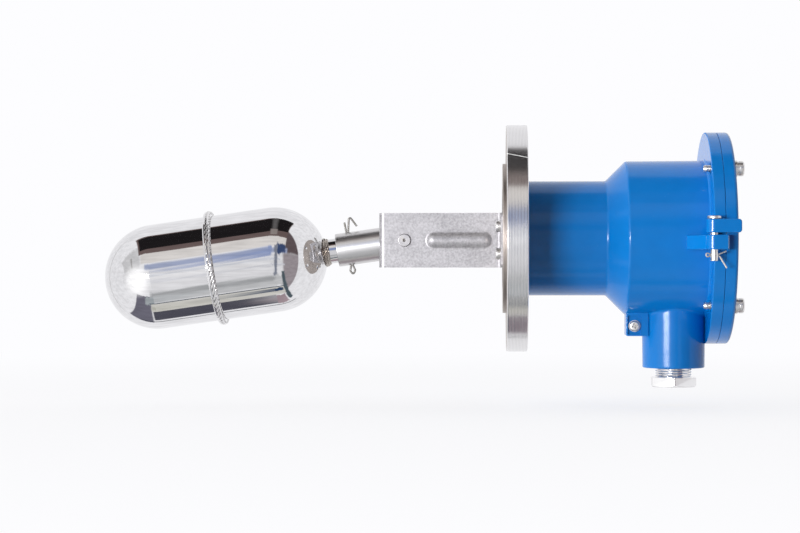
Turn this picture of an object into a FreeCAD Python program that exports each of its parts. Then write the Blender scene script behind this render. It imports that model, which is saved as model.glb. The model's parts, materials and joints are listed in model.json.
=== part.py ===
import FreeCAD, Part
import math
import os

# Side-mounted magnetic float switch. A hollow float on a pivoted arm hangs in the tank.
# The arm's inner end carries a magnet that moves behind the thin wall of the mounting flange,
# and a second magnet on the dry side of that wall works a changeover contact in the housing.
#
# Lengths are in millimetres. The origin is the centre of the flange's gasket face, +X runs
# along the switch towards the cover, the float lies on the -X side, and +Z is up.

Vector = FreeCAD.Vector
ORIGIN = Vector(0, 0, 0)
X_AXIS = Vector(1, 0, 0)
Y_AXIS = Vector(0, 1, 0)
Z_AXIS = Vector(0, 0, 1)
FULL_TURN = 360.0
LEVEL_TOLERANCE = 1e-4

# Clearances
body_gap = 0.3
running_gap = 0.05
fit_gap = 0.05
thread_gap = 0.08

# How far a cut runs past the face it opens, and a tapped hole past its screw's tip
overcut = 1.0

# Mounting flange, nominal bore 65, pressure class 16
flange_dia = 185.0
flange_thickness = 20.0
raised_face_dia = 122.0
raised_face_height = 3.0
bracket_seat_dia = 84.0
bracket_seat_recess = 0.3
flange_edge = 1.0
raised_face_edge = 0.5
bolt_circle = 145.0
bolt_hole_dia = 18.0
bolt_hole_count = 4
wall_between_magnets = 3.0
dry_pocket_depth = 10.0
dry_pocket_dia = 60.0
wet_pocket_side_room = 3.0
wet_pocket_end_room = 2.0

# Float
float_dia = 86.0
float_straight = 98.0
float_wall = 1.2
seam_lip_height = 3.8
seam_lip_thickness = 1.8
seam_lip_round = 0.6
seam_weld_width = 0.9
seam_weld_sink = 1.0
boss_stud_dia = 14.0
boss_stud_length = 15.0
boss_collar_dia = 26.0
boss_collar_depth = 6.0
neck_weld_leg = 2.4
dome_overlap = 3.0

# Float arm, measured along the arm from its pivot
arm_tilt = 8.2
seam_reach = 157.2
rod_dia = 20.0
rod_inner_end = 30.0
sleeve_dia = 27.0
sleeve_outer_end = 56.3
sleeve_inner_end = 16.0
sleeve_edge = 0.6
arm_pin_reach = 46.1
arm_pin_wire_dia = 1.6
arm_pin_hole_dia = 4.0
arm_pin_short_leg = 8.4
arm_pin_short_lean = 0.4
arm_pin_long_leg = 13.4
arm_pin_long_lean = 2.4
arm_pin_hook_out = 7.6
arm_pin_hook_end = 3.9
arm_pin_eye_widest = 4.6
arm_pin_eye_length = 8.2
arm_pin_eye_spread = 1.2
wire_seat = 0.6
wire_bend = 2.0
eye_bend = 1.6
eye_tip_bend = 1.2
hook_bend = 1.1
lever_bar_dia = 12.0
lever_plug_length = 9.0
wet_magnet_reach = 84.2

# Magnets, alike on both sides of the wall
magnet_dia = 14.0
magnet_length = 9.0
can_dia = 18.0
can_length = 14.0
can_edge = 0.8
cap_thickness = 1.0
cap_ledge = 1.0

# Pivot and bracket
pivot_distance = 79.7
mechanism_drop = 1.7
pivot_pin_dia = 8.0
pivot_head_dia = 10.5
pivot_head_height = 1.6
pivot_head_edge = 0.6
pivot_dimple_dia = 2.6
pivot_dimple_depth = 0.9
spacer_dia = 14.0
bracket_reach = 100.2
bracket_width = 40.0
bracket_height = 44.2
sheet_thickness = 2.0
bend_radius = 1.8
web_bend_radius = 2.2
foot_length = 14.0
foot_corner = 3.0
rib_from = 61.6
rib_to = 8.9
rib_height = 12.0
rib_depth = 2.6
rib_root_round = 3.0
web_hole_side_room = 1.0
foot_screw_spacing = 22.2
foot_screw_inset = 6.5
foot_screw_dia = 5.0
foot_screw_depth = 7.0
foot_head_dia = 9.5
foot_head_height = 3.1
foot_washer_dia = 8.8
foot_washer_thickness = 1.3

# Pan heads are rounded by a share of their height, and screw tips by a share of the shank
pan_round_share = 0.45
tip_round_share = 0.125

# Housing
neck_dia = 93.3
neck_length = 63.7
cone_angle = 45.0
body_dia = 125.4
body_end_dia = 126.2
ring_back = 163.7
ring_dia = 172.0
ring_thickness = 9.0
ring_edge = 0.8
ring_fillet = 1.5
housing_wall = 4.7
shoulder_round = 3.0
floor_thickness = 8.0
floor_fillet = 1.5
floor_opening_dia = 56.0
housing_screw_inset = 6.95
housing_screw_dia = 6.0
housing_screw_count = 4
housing_screw_depth = 7.0
housing_head_dia = 10.0
housing_head_height = 6.0
housing_head_edge = 0.6
housing_socket_dia = 4.0
housing_socket_depth = 3.0
housing_washer_dia = 10.5
housing_washer_thickness = 1.2
neck_gasket_inset = 3.95
neck_gasket_section = 1.9
cover_gasket_outset = 7.5
cover_gasket_section = 2.6
groove_side_room = 0.25

# Cable hub and gland
hub_from_ring = 24.5
hub_dia = 51.6
hub_end_dia = 50.4
hub_drop = 105.5
hub_edge = 1.2
hub_root = 4.0
hub_root_round = 2.5
hub_root_sink = 0.05
hub_web_width = 10.0
hub_web_drop = 82.0
gland_thread_dia = 29.8
gland_thread_length = 20.0
gland_thread_shown = 7.9
gland_hex_flats = 36.0
gland_hex_height = 7.6
gland_hex_turn = 27.0
hex_chamfer_angle = 30.0
gland_bore_dia = 14.0
gland_edge = 0.8
cable_way_dia = 18.0
bush_length = 12.0
gland_washer_thickness = 1.5

# Cover and its bolts
cover_thickness = 9.7
cover_edge = 2.6
spigot_room = 1.0
spigot_length = 3.0
spigot_edge = 0.5
cover_hollow_fillet = 2.0
cover_wall = 5.0
spigot_wall = 7.0
cover_bolt_inset = 9.5
cover_bolt_dia = 6.0
cover_bolt_count = 4
cover_bolt_tail = 5.4
cover_bolt_tip = 0.8
bolt_head_dia = 12.0
bolt_head_height = 4.0
bolt_head_round = 1.6
ring_hole_room = 1.9
flat_washer_dia = 13.0
flat_washer_thickness = 1.6
spring_washer_dia = 11.6
spring_washer_thickness = 1.6
spring_washer_slit = 1.0

# Cover hinge
hinge_from_ring = -0.9
hinge_from_rim = 6.5
hinge_pin_dia = 6.0
hinge_head_dia = 11.0
hinge_head_height = 2.2
hinge_head_edge = 0.8
hinge_head_under_edge = 0.4
hinge_pin_tip = 0.6
hinge_pin_end = -18.9
knuckle_radius = 6.0
lug_top = 1.4
lug_height = 11.4
lug_end_radius = 11.8
lug_pad_length = 18.8
lug_pad_step = 5.0
lug_pad_past_rim = 2.5
lug_corner = 1.2
lug_edge = 0.9
lug_ring_bite = 4.0
arm_bottom = 3.0
arm_top = 13.6
arm_past_cover = 1.0
arm_end_chamfer = 2.4
arm_edge = 0.9
arm_root = 6.0
hinge_wire_dia = 1.3
hinge_wire_hole_dia = 3.2
hinge_wire_z = -14.2
hinge_wire_seat = 0.3
hinge_wire_exit = 0.8
hinge_wire_upper_out = 6.2
hinge_wire_upper_rise = 3.0
hinge_wire_lower_out = 6.6
hinge_wire_lower_drop = 10.2
hinge_eye_spread = 0.8
hinge_eye_middle = 2.4
hinge_eye_length = 3.6
hinge_wire_bend = 1.0
hinge_eye_bend = 0.9

# Earth terminals
earth_lug_length = 13.7
earth_lug_hub_bite = 4.7
earth_lug_top = -52.0
earth_lug_bottom = -79.4
earth_lug_front = -16.0
earth_lug_depth = 22.0
earth_cheek = 1.4
earth_recess = 2.0
earth_recess_sill = 1.2
earth_recess_head_room = 3.0
earth_recess_corner = 1.0
earth_chamfer_width = 4.0
earth_chamfer_height = 6.0
earth_lug_corner = 1.5
earth_lug_edge = 0.7
earth_hole_depth = 10.0
earth_screw_z = -71.2
earth_screw_dia = 4.0
earth_head_dia = 8.6
earth_head_height = 2.8
earth_screw_length = 8.0
earth_washer_dia = 9.4
earth_washer_thickness = 1.0
inner_earth_z = 47.0
inner_earth_boss_dia = 14.0
inner_earth_boss_length = 29.0

# Contact set in the dry housing
base_gap_x = 36.0
base_side_room = 1.95
base_thickness = 6.0
base_window_width = 16.0
base_window_height = 26.0
window_corner = 2.0
base_edge = 0.8
barrier_thickness = 2.0
barrier_height = 8.0
barrier_length = 20.0
barrier_gap = 1.0
post_inset = 5.0
post_dia = 9.0
post_edge = 0.4
post_stud_gap = 2.0
post_hole_depth = 9.0
post_screw_bite = 7.0
small_screw_dia = 4.0
cheek_screw_dia = 3.0
cheek_screw_bite = 4.0
cheek_head_dia = 5.7
cheek_head_height = 2.0
contact_pivot_x = 46.0
contact_tilt = 8.0
contact_pin_dia = 4.0
contact_pin_head_dia = 6.4
contact_pin_head_height = 1.2
contact_pin_head_edge = 0.3
dry_magnet_reach = 33.4
dry_can_length = 12.0
contact_lever_width = 8.0
contact_lever_thickness = 4.0
lever_boss_dia = 10.0
lever_boss_length = 14.0
cheek_thickness = 1.5
cheek_height = 16.0
cheek_foot = 8.0
cheek_reach = 7.0
cheek_bend = 0.8
cheek_nose_flat = 1.0
bridge_reach = 36.0
bridge_width = 5.0
bridge_thickness = 3.0
bridge_length = 36.0
carrier_length = 10.0
carrier_width = 12.0
carrier_height = 9.0
strip_thickness = 1.2
strip_width = 8.0
strip_place = 14.0
strip_end_reach = 5.2
strip_bend = 0.6
button_dia = 5.0
button_height = 1.0
terminal_inset = 11.0
terminal_head_dia = 7.6
terminal_head_height = 2.6
terminal_screw_bite = 4.4
clamp_size = 8.0
clamp_thickness = 1.4

# Stations along X, and sizes and places that follow from the sizes above
cone_start = flange_thickness + neck_length
cone_end = cone_start + (body_dia - neck_dia) / 2 / math.tan(math.radians(cone_angle))
ring_front = ring_back + ring_thickness
cover_inner = ring_front + body_gap
cover_outer = cover_inner + cover_thickness
floor_top = flange_thickness + floor_thickness
neck_bore = neck_dia / 2 - housing_wall
body_bore = body_dia / 2 - housing_wall
housing_screw_circle = 2 * (neck_bore - housing_screw_inset)
neck_gasket_dia = neck_dia - 2 * neck_gasket_inset
cover_gasket_dia = 2 * (body_bore + cover_gasket_outset)
cover_bolt_circle = ring_dia - 2 * cover_bolt_inset
hinge_x = ring_back + hinge_from_ring
hinge_y = -(ring_dia / 2 + hinge_from_rim)
lug_pad_start = hinge_x - lug_pad_length
arm_end = cover_outer + arm_past_cover
hub_x = ring_back - hub_from_ring
earth_lug_from = hub_x - hub_dia / 2 - earth_lug_length
earth_lug_to = hub_x - hub_dia / 2 + earth_lug_hub_bite
inner_earth_boss_end = cone_start + inner_earth_boss_length
pivot_place = Vector(-pivot_distance, 0, -mechanism_drop)
contact_pivot_place = Vector(contact_pivot_x, 0, 0)
float_inner_tip = seam_reach - (float_straight + float_dia) / 2
base_back = floor_top + base_gap_x
base_front = base_back + base_thickness
base_dia = 2 * (neck_bore - base_side_room)
post_circle = base_dia - 2 * post_inset
terminal_place = base_dia / 2 - terminal_inset


def corner_arcs(points, radii, closed):
    """Enter, middle and leave point of the bend at each corner of a path."""
    arcs = []
    last = len(points) - 1
    for index, here in enumerate(points):
        at_end = not closed and index in (0, last)
        if radii[index] == 0 or at_end:
            arcs.append((here, here, here))
            continue
        back = (points[index - 1] - here).normalize()
        ahead = (points[(index + 1) % len(points)] - here).normalize()
        half_angle = back.getAngle(ahead) / 2
        setback = radii[index] / math.tan(half_angle)
        to_middle = radii[index] / math.sin(half_angle) - radii[index]
        inward = (back + ahead).normalize()
        arcs.append((here + back * setback, here + inward * to_middle, here + ahead * setback))
    return arcs


def bent_wire(points, radii, closed):
    """Wire of straight runs and round bends through the points."""
    arcs = corner_arcs(points, radii, closed)
    edges = []
    for index, (enter, middle, leave) in enumerate(arcs):
        if not enter.isEqual(leave, 1e-7):
            edges.append(Part.Arc(enter, middle, leave).toShape())
        if index == len(arcs) - 1 and not closed:
            break
        following = arcs[(index + 1) % len(arcs)][0]
        if not leave.isEqual(following, 1e-6):
            edges.append(Part.LineSegment(leave, following).toShape())
    return Part.Wire(edges)


def outline_face(corners, place):
    """Flat face from corners (u, v) or (u, v, radius), laid out in space by place(u, v)."""
    points = [place(corner[0], corner[1]) for corner in corners]
    radii = [corner[2] if len(corner) > 2 else 0 for corner in corners]
    return Part.Face(bent_wire(points, radii, True))


def turned_x(corners):
    """Solid turned about the X axis from corners (x, radius)."""
    return outline_face(corners, lambda x, r: Vector(x, 0, r)).revolve(ORIGIN, X_AXIS, FULL_TURN)


def turned_arm(corners):
    """Solid turned about the arm from corners (distance out from the pivot, radius)."""
    return outline_face(corners, lambda out, r: Vector(-out, 0, r)).revolve(ORIGIN, X_AXIS, FULL_TURN)


def turned_y(corners, x, z):
    """Solid turned about a line along Y from corners (y, radius)."""
    face = outline_face(corners, lambda y, r: Vector(x, y, z + r))
    return face.revolve(Vector(x, 0, z), Y_AXIS, FULL_TURN)


def turned_z(corners, x, y):
    """Solid turned about a line along Z from corners (radius, z)."""
    face = outline_face(corners, lambda r, z: Vector(x + r, y, z))
    return face.revolve(Vector(x, y, 0), Z_AXIS, FULL_TURN)


def rod_x(dia, x_from, x_to, y=0.0, z=0.0):
    """Round bar along X."""
    return Part.makeCylinder(dia / 2, x_to - x_from, Vector(x_from, y, z), X_AXIS)


def rod_y(dia, y_from, y_to, x=0.0, z=0.0):
    """Round bar along Y."""
    return Part.makeCylinder(dia / 2, y_to - y_from, Vector(x, y_from, z), Y_AXIS)


def rod_z(dia, z_from, z_to, x=0.0, y=0.0):
    """Round bar along Z."""
    return Part.makeCylinder(dia / 2, z_to - z_from, Vector(x, y, z_from), Z_AXIS)


def block(x_from, x_to, y_from, y_to, z_from, z_to):
    """Square-edged block between two corners."""
    corner = Vector(x_from, y_from, z_from)
    return Part.makeBox(x_to - x_from, y_to - y_from, z_to - z_from, corner)


def slab_z(corners, z_from, z_to):
    """Plate with an outline of (x, y) corners, standing along Z."""
    face = outline_face(corners, lambda x, y: Vector(x, y, z_from))
    return face.extrude(Vector(0, 0, z_to - z_from))


def slab_y(corners, y_from, y_to):
    """Plate with an outline of (x, z) corners, running along Y."""
    face = outline_face(corners, lambda x, z: Vector(x, y_from, z))
    return face.extrude(Vector(0, y_to - y_from, 0))


def slab_x(corners, x_from, x_to):
    """Plate with an outline of (y, z) corners, running along X."""
    face = outline_face(corners, lambda y, z: Vector(x_from, y, z))
    return face.extrude(Vector(x_to - x_from, 0, 0))


def long_hole(width, height, x_from, x_to, z):
    """Upright slot with round ends, cut along X."""
    half = width / 2
    straight = height / 2 - half
    middle = block(x_from, x_to, -half, half, z - straight, z + straight)
    ends = [rod_x(width, x_from, x_to, 0, z + side * straight) for side in (-1, 1)]
    return middle.fuse(ends)


def wire_pin(points, radii, wire_dia):
    """Round wire bent along a path, as one solid."""
    path = bent_wire(points, radii, False)
    direction = (points[1] - points[0]).normalize()
    section = Part.Wire(Part.Circle(points[0], direction, wire_dia / 2).toShape())
    return path.makePipeShell([section], True, True)


def circle_places(circle_dia, count, first_angle):
    """Evenly spaced (y, z) places on a circle about the X axis."""
    places = []
    for index in range(count):
        angle = math.radians(first_angle + index * FULL_TURN / count)
        places.append((circle_dia / 2 * math.cos(angle), circle_dia / 2 * math.sin(angle)))
    return places


def joined(shapes):
    """One solid from shapes that share volume."""
    return shapes[0].fuse(shapes[1:]).removeSplitter()


def eased(shape, radius, chosen):
    """The shape with those edges rounded whose middle point is chosen."""
    edges = []
    for edge in shape.Edges:
        middle = edge.valueAt((edge.FirstParameter + edge.LastParameter) / 2)
        if chosen(middle):
            edges.append(edge)
    return shape.makeFillet(radius, edges)


def at_level(level, place):
    """True where a coordinate is at a level."""
    return abs(place - level) < LEVEL_TOLERANCE


def hung(shape, place, tilt):
    """A shape drawn level about its pivot, set at the pivot with its -X end tilted down."""
    moved = shape.copy()
    moved.rotate(ORIGIN, Y_AXIS, -tilt)
    moved.translate(place)
    return moved


def on_arm(shape):
    """A shape drawn about the float pivot, at its resting place."""
    return hung(shape, pivot_place, arm_tilt)


def on_lever(shape):
    """A shape drawn about the contact pivot, at its resting place."""
    return hung(shape, contact_pivot_place, contact_tilt)


def foot_screw_places():
    """(y, z) places of the four screws in the bracket's feet."""
    y = bracket_width / 2 + foot_length - foot_screw_inset
    half = foot_screw_spacing / 2
    return [(side * y, -mechanism_drop + up * half) for side in (-1, 1) for up in (-1, 1)]


def web_hole_half_height():
    """Half the height of the hole that stops the sleeve at both ends of its swing."""
    tilt = math.radians(arm_tilt)
    drop = (bracket_reach - pivot_distance) * math.tan(tilt)
    return drop + sleeve_dia / 2 / math.cos(tilt) + body_gap


def wet_pocket_half_height():
    """Half the height of the pocket that the wet magnet sweeps."""
    tilt = math.radians(arm_tilt)
    return wet_magnet_reach * math.sin(tilt) + can_dia / 2 * math.cos(tilt) + wet_pocket_end_room


def mounting_flange():
    """Flange with its gasket ring, bracket seat, bolt holes, magnet pockets and tapped holes."""
    wet_depth = flange_thickness - dry_pocket_depth - wall_between_magnets
    flange = turned_x([
        (bracket_seat_recess, 0),
        (bracket_seat_recess, bracket_seat_dia / 2),
        (0, bracket_seat_dia / 2),
        (0, raised_face_dia / 2, raised_face_edge),
        (raised_face_height, raised_face_dia / 2),
        (raised_face_height, flange_dia / 2, flange_edge),
        (flange_thickness, flange_dia / 2, flange_edge),
        (flange_thickness, dry_pocket_dia / 2),
        (flange_thickness - dry_pocket_depth, dry_pocket_dia / 2),
        (flange_thickness - dry_pocket_depth, 0),
    ])
    width = can_dia + 2 * wet_pocket_side_room
    cuts = [long_hole(width, 2 * wet_pocket_half_height(), 0, wet_depth, -mechanism_drop)]
    for y, z in circle_places(bolt_circle, bolt_hole_count, 45):
        cuts.append(rod_x(bolt_hole_dia, 0, flange_thickness, y, z))
    for y, z in foot_screw_places():
        cuts.append(rod_x(foot_screw_dia + 2 * fit_gap, 0, foot_screw_depth + overcut, y, z))
    for y, z in circle_places(housing_screw_circle, housing_screw_count, 45):
        start = flange_thickness - housing_screw_depth - overcut
        cuts.append(rod_x(housing_screw_dia + 2 * fit_gap, start, flange_thickness, y, z))
    return flange.cut(cuts)


def half_shell(side):
    """One deep-drawn half of the float with its seam lip. Side 1 is the outer half."""
    seam = seam_weld_width / 2
    end = (float_straight + float_dia) / 2
    radius = float_dia / 2
    bore = radius - float_wall
    corners = [
        (seam, bore),
        (seam, radius + seam_lip_height, seam_lip_round),
        (seam + seam_lip_thickness, radius + seam_lip_height, seam_lip_round),
        (seam + seam_lip_thickness, radius),
        (end, radius, radius),
        (end, 0),
        (end - float_wall, 0),
        (end - float_wall, bore, bore),
    ]
    return turned_arm([(seam_reach + side * c[0],) + c[1:] for c in corners])


def inner_ball(radius):
    """Ball about the centre of the float's inner dome."""
    return Part.makeSphere(radius, Vector(-(float_inner_tip + float_dia / 2), 0, 0))


def arm_bar(dia, out_from, out_to):
    """Round bar on the arm's axis between two distances out from the pivot."""
    return rod_x(dia, -out_to, -out_from)


def float_parts():
    """The float, its boss and welds, drawn about the pivot."""
    stud_hole = arm_bar(boss_stud_dia, float_inner_tip - overcut, float_inner_tip + float_wall + overcut)
    seam_bore = float_dia / 2 - float_wall
    weld_top = float_dia / 2 + seam_lip_height - seam_weld_sink
    half_weld = seam_weld_width / 2
    seam_weld = turned_arm([
        (seam_reach - half_weld, seam_bore),
        (seam_reach - half_weld, weld_top),
        (seam_reach + half_weld, weld_top),
        (seam_reach + half_weld, seam_bore),
    ])
    collar = arm_bar(boss_collar_dia, float_inner_tip, float_inner_tip + boss_collar_depth)
    collar = collar.common(inner_ball(float_dia / 2 - float_wall))
    stud = arm_bar(boss_stud_dia, float_inner_tip - boss_stud_length, float_inner_tip + boss_collar_depth)
    neck_weld = turned_arm([
        (float_inner_tip - neck_weld_leg, rod_dia / 2),
        (float_inner_tip + neck_weld_leg, rod_dia / 2),
        (float_inner_tip + neck_weld_leg, rod_dia / 2 + 2 * neck_weld_leg),
    ])
    return {
        "float_outer_shell": half_shell(1),
        "float_inner_shell": half_shell(-1).cut(stud_hole),
        "float_seam_weld": seam_weld,
        "float_boss": joined([collar, stud]),
        "float_neck_weld": neck_weld.cut(inner_ball(float_dia / 2)),
    }


def arm_split_pin():
    """Split pin through the sleeve: a narrow eye below and two bent legs above."""
    x = -arm_pin_reach
    leg = arm_pin_wire_dia / 2 + fit_gap
    surface = sleeve_dia / 2
    widest = -surface - arm_pin_eye_widest
    path = [
        Vector(x - leg - arm_pin_short_lean, 0, surface + arm_pin_short_leg),
        Vector(x - leg, 0, surface + wire_seat),
        Vector(x - leg, 0, -surface - wire_seat),
        Vector(x - leg - arm_pin_eye_spread, 0, widest),
        Vector(x, 0, -surface - arm_pin_eye_length),
        Vector(x + leg + arm_pin_eye_spread, 0, widest),
        Vector(x + leg, 0, -surface - wire_seat),
        Vector(x + leg, 0, surface + wire_seat),
        Vector(x + leg + arm_pin_long_lean, 0, surface + arm_pin_long_leg),
        Vector(x + leg + arm_pin_hook_out, 0, surface + arm_pin_hook_end),
    ]
    eye = [eye_bend, eye_tip_bend, eye_bend]
    bends = [0, wire_bend, wire_bend] + eye + [wire_bend, wire_bend, hook_bend, 0]
    return wire_pin(path, bends, arm_pin_wire_dia)


def arm_parts():
    """Rod, sleeve, split pin and the bar that carries the wet magnet, about the pivot."""
    pin_hole = rod_z(arm_pin_hole_dia, -sleeve_dia, sleeve_dia, -arm_pin_reach)
    rod_end = float_inner_tip + dome_overlap
    stud_bore = arm_bar(boss_stud_dia + 2 * fit_gap, float_inner_tip - boss_stud_length - overcut, rod_end)
    rod = arm_bar(rod_dia, rod_inner_end, rod_end)
    rod = rod.cut([inner_ball(float_dia / 2), stud_bore, pin_hole])
    sleeve_bore = rod_dia / 2 + fit_gap
    sleeve = turned_arm([
        (sleeve_outer_end, sleeve_bore),
        (sleeve_outer_end, sleeve_dia / 2, sleeve_edge),
        (-sleeve_inner_end, sleeve_dia / 2, sleeve_edge),
        (-sleeve_inner_end, sleeve_bore),
    ])
    pivot_hole = rod_y(pivot_pin_dia + 2 * running_gap, -sleeve_dia, sleeve_dia)
    plug = arm_bar(rod_dia, -sleeve_inner_end, lever_plug_length - sleeve_inner_end)
    bar = arm_bar(lever_bar_dia, can_length - wet_magnet_reach, -sleeve_inner_end)
    return {
        "float_rod": rod,
        "arm_sleeve": sleeve.cut([pin_hole, pivot_hole]),
        "arm_split_pin": arm_split_pin(),
        "lever_bar": joined([plug, bar]),
    }


def magnet_set(face, length, toward):
    """Can, magnet and cap with the cap's face at x = face, looking towards +X or -X."""
    seat = face - toward * cap_thickness
    back = face - toward * length
    bore = magnet_dia / 2 + fit_gap
    can = turned_x([
        (back, 0),
        (back, can_dia / 2, can_edge),
        (face, can_dia / 2, can_edge),
        (face, bore + cap_ledge),
        (seat, bore + cap_ledge),
        (seat, bore),
        (seat - toward * magnet_length, bore),
        (seat - toward * magnet_length, 0),
    ])
    low, high = sorted((seat, seat - toward * magnet_length))
    magnet = rod_x(magnet_dia, low, high)
    low, high = sorted((seat, face))
    cap = rod_x(2 * (bore + cap_ledge - fit_gap), low, high)
    return can, magnet, cap


def bracket_rib(side):
    """Ridge pressed outwards in one leg, and the hollow behind it."""
    radius = (rib_height ** 2 / 4 + rib_depth ** 2) / (2 * rib_depth)
    y = side * (bracket_width / 2 + rib_depth - radius)
    start = -rib_from + rib_height / 2
    end = -rib_to - rib_height / 2

    def capsule(size):
        ends = [Part.makeSphere(size, Vector(x, y, -mechanism_drop)) for x in (start, end)]
        return rod_x(2 * size, start, end, y, -mechanism_drop).fuse(ends)

    reach = side * (bracket_width / 2 + rib_depth + overcut)
    low, high = sorted((side * bracket_width / 2 - side * sheet_thickness / 2, reach))
    outside = block(-rib_from - rib_height, -rib_to + rib_height, low, high, -rib_height, rib_height)
    return capsule(radius).common(outside), capsule(radius - sheet_thickness)


def arm_bracket():
    """Folded sheet bracket: web with the stop hole, two ribbed legs and two feet."""
    outer = bracket_width / 2
    inner = outer - sheet_thickness
    outer_bend = bend_radius + sheet_thickness
    web_outer_bend = web_bend_radius + sheet_thickness
    tip = outer + foot_length
    foot_front = bracket_seat_recess - sheet_thickness
    low = -mechanism_drop - bracket_height / 2
    high = -mechanism_drop + bracket_height / 2
    half = [
        (bracket_seat_recess, -tip),
        (bracket_seat_recess, -inner, outer_bend),
        (-bracket_reach + sheet_thickness, -inner, web_bend_radius),
    ]
    outside = [
        (-bracket_reach, -outer, web_outer_bend),
        (foot_front, -outer, bend_radius),
        (foot_front, -tip),
    ]
    mirrored_half = [(c[0], -c[1]) + c[2:] for c in reversed(half)]
    mirrored_outside = [(c[0], -c[1]) + c[2:] for c in reversed(outside)]
    strap = slab_z(half + mirrored_half + mirrored_outside + outside, low, high)
    foot_outline = slab_x([
        (-tip, low, foot_corner),
        (tip, low, foot_corner),
        (tip, high, foot_corner),
        (-tip, high, foot_corner),
    ], -bracket_reach, bracket_seat_recess)
    strap = strap.common(foot_outline)
    ridges = []
    hollows = []
    for side in (-1, 1):
        ridge, hollow = bracket_rib(side)
        ridges.append(ridge)
        hollows.append(hollow)
    cuts = list(hollows)
    web_back = -bracket_reach + sheet_thickness
    width = sleeve_dia + 2 * web_hole_side_room
    web_front = -bracket_reach - overcut
    height = 2 * web_hole_half_height()
    cuts.append(long_hole(width, height, web_front, web_back + overcut, -mechanism_drop))
    pin_hole = pivot_pin_dia + 2 * fit_gap
    cuts.append(rod_y(pin_hole, -bracket_width, bracket_width, -pivot_distance, -mechanism_drop))
    for y, z in foot_screw_places():
        cuts.append(rod_x(foot_screw_dia + 2 * body_gap, foot_front - overcut, overcut, y, z))
    near_rib = rib_height / 2 + rib_root_round

    def at_rib_root(point):
        beside = abs(point.z + mechanism_drop) < near_rib
        along = -rib_from - rib_root_round < point.x < -rib_to + rib_root_round
        return beside and along and at_level(outer, abs(point.y))

    strap = eased(joined([strap] + ridges), rib_root_round, at_rib_root)
    return strap.cut(cuts)


def pivot_pin():
    """Riveted pivot pin with a dimple in each flat head."""
    outer = bracket_width / 2
    face = outer + pivot_head_height
    half = [
        (outer, pivot_pin_dia / 2),
        (outer, pivot_head_dia / 2),
        (face, pivot_head_dia / 2, pivot_head_edge),
        (face, pivot_dimple_dia / 2),
        (face - pivot_dimple_depth, 0),
    ]
    other = [(-c[0],) + c[1:] for c in reversed(half)]
    return turned_y(half + other, -pivot_distance, -mechanism_drop)


def pivot_spacers():
    """Two rings on the pin that centre the sleeve between the bracket's legs."""
    inner = bracket_width / 2 - sheet_thickness
    start = sleeve_dia / 2 + body_gap
    hole = rod_y(pivot_pin_dia + 2 * fit_gap, -inner, inner, -pivot_distance, -mechanism_drop)
    left = rod_y(spacer_dia, -inner, -start, -pivot_distance, -mechanism_drop)
    right = rod_y(spacer_dia, start, inner, -pivot_distance, -mechanism_drop)
    return Part.makeCompound([left.cut(hole), right.cut(hole)])


def screw(shank_dia, shank_length, head_dia, head_height):
    """Pan-head screw along +X with the seat of its head at x = 0 and its tip at +X."""
    return turned_x([
        (-head_height, 0),
        (-head_height, head_dia / 2, head_height * pan_round_share),
        (0, head_dia / 2),
        (0, shank_dia / 2),
        (shank_length, shank_dia / 2, shank_dia * tip_round_share),
        (shank_length, 0),
    ])


def moved(shape, x, y, z, turn_axis=None, turn=0.0):
    """A copy of a shape turned about the origin and then set at a place."""
    copy = shape.copy()
    if turn_axis is not None:
        copy.rotate(ORIGIN, turn_axis, turn)
    copy.translate(Vector(x, y, z))
    return copy


def ring_washer(outer_dia, hole_dia, thickness):
    """Flat ring from x = 0 to x = thickness."""
    return rod_x(outer_dia, 0, thickness).cut(rod_x(hole_dia, 0, thickness))


def split_washer(outer_dia, hole_dia, thickness):
    """Spring washer: a ring with a slit through one side."""
    ring = ring_washer(outer_dia, hole_dia, thickness)
    half = spring_washer_slit / 2
    return ring.cut(block(-overcut, thickness + overcut, -half, half, 0, outer_dia))


def bracket_fasteners():
    """Screws and spring washers that hold the bracket's feet on their seat in the flange."""
    washer = split_washer(foot_washer_dia, foot_screw_dia + 2 * body_gap, foot_washer_thickness)
    head = bracket_seat_recess - sheet_thickness - foot_washer_thickness
    one = screw(foot_screw_dia, foot_screw_depth - head, foot_head_dia, foot_head_height)
    screws = [moved(one, head, y, z) for y, z in foot_screw_places()]
    washers = [moved(washer, head, y, z) for y, z in foot_screw_places()]
    return Part.makeCompound(screws), Part.makeCompound(washers)


def housing_outside():
    """Outside of the casting as one filled form: neck, shoulder, body and ring."""
    return turned_x([
        (flange_thickness, 0),
        (flange_thickness, neck_dia / 2),
        (cone_start, neck_dia / 2, shoulder_round),
        (cone_end, body_dia / 2, shoulder_round),
        (ring_back, body_end_dia / 2, ring_fillet),
        (ring_back, ring_dia / 2, ring_edge),
        (ring_front, ring_dia / 2, ring_edge / 2),
        (ring_front, 0),
    ])


def housing_cavity():
    """Inside of the casting: opening in the floor, neck bore, shoulder and wiring chamber."""
    shift = housing_wall * math.tan(math.radians(cone_angle / 2))
    return turned_x([
        (flange_thickness - overcut, 0),
        (flange_thickness - overcut, floor_opening_dia / 2),
        (floor_top, floor_opening_dia / 2),
        (floor_top, neck_bore, floor_fillet),
        (cone_start + shift, neck_bore, shoulder_round),
        (cone_end + shift, body_bore, shoulder_round),
        (ring_front + overcut, body_bore),
        (ring_front + overcut, 0),
    ])


def hub_solid():
    """Tapered cable hub below the body, and the web that ties it to the ring."""
    top = -body_bore + hub_root
    hub = turned_z([
        (0, top),
        (hub_dia / 2, top),
        (hub_end_dia / 2, -hub_drop, hub_edge),
        (0, -hub_drop),
    ], hub_x, 0)
    half = hub_web_width / 2
    web = block(hub_x, ring_back + ring_thickness / 2, -half, half, -hub_web_drop, top)
    return hub, web


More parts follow.
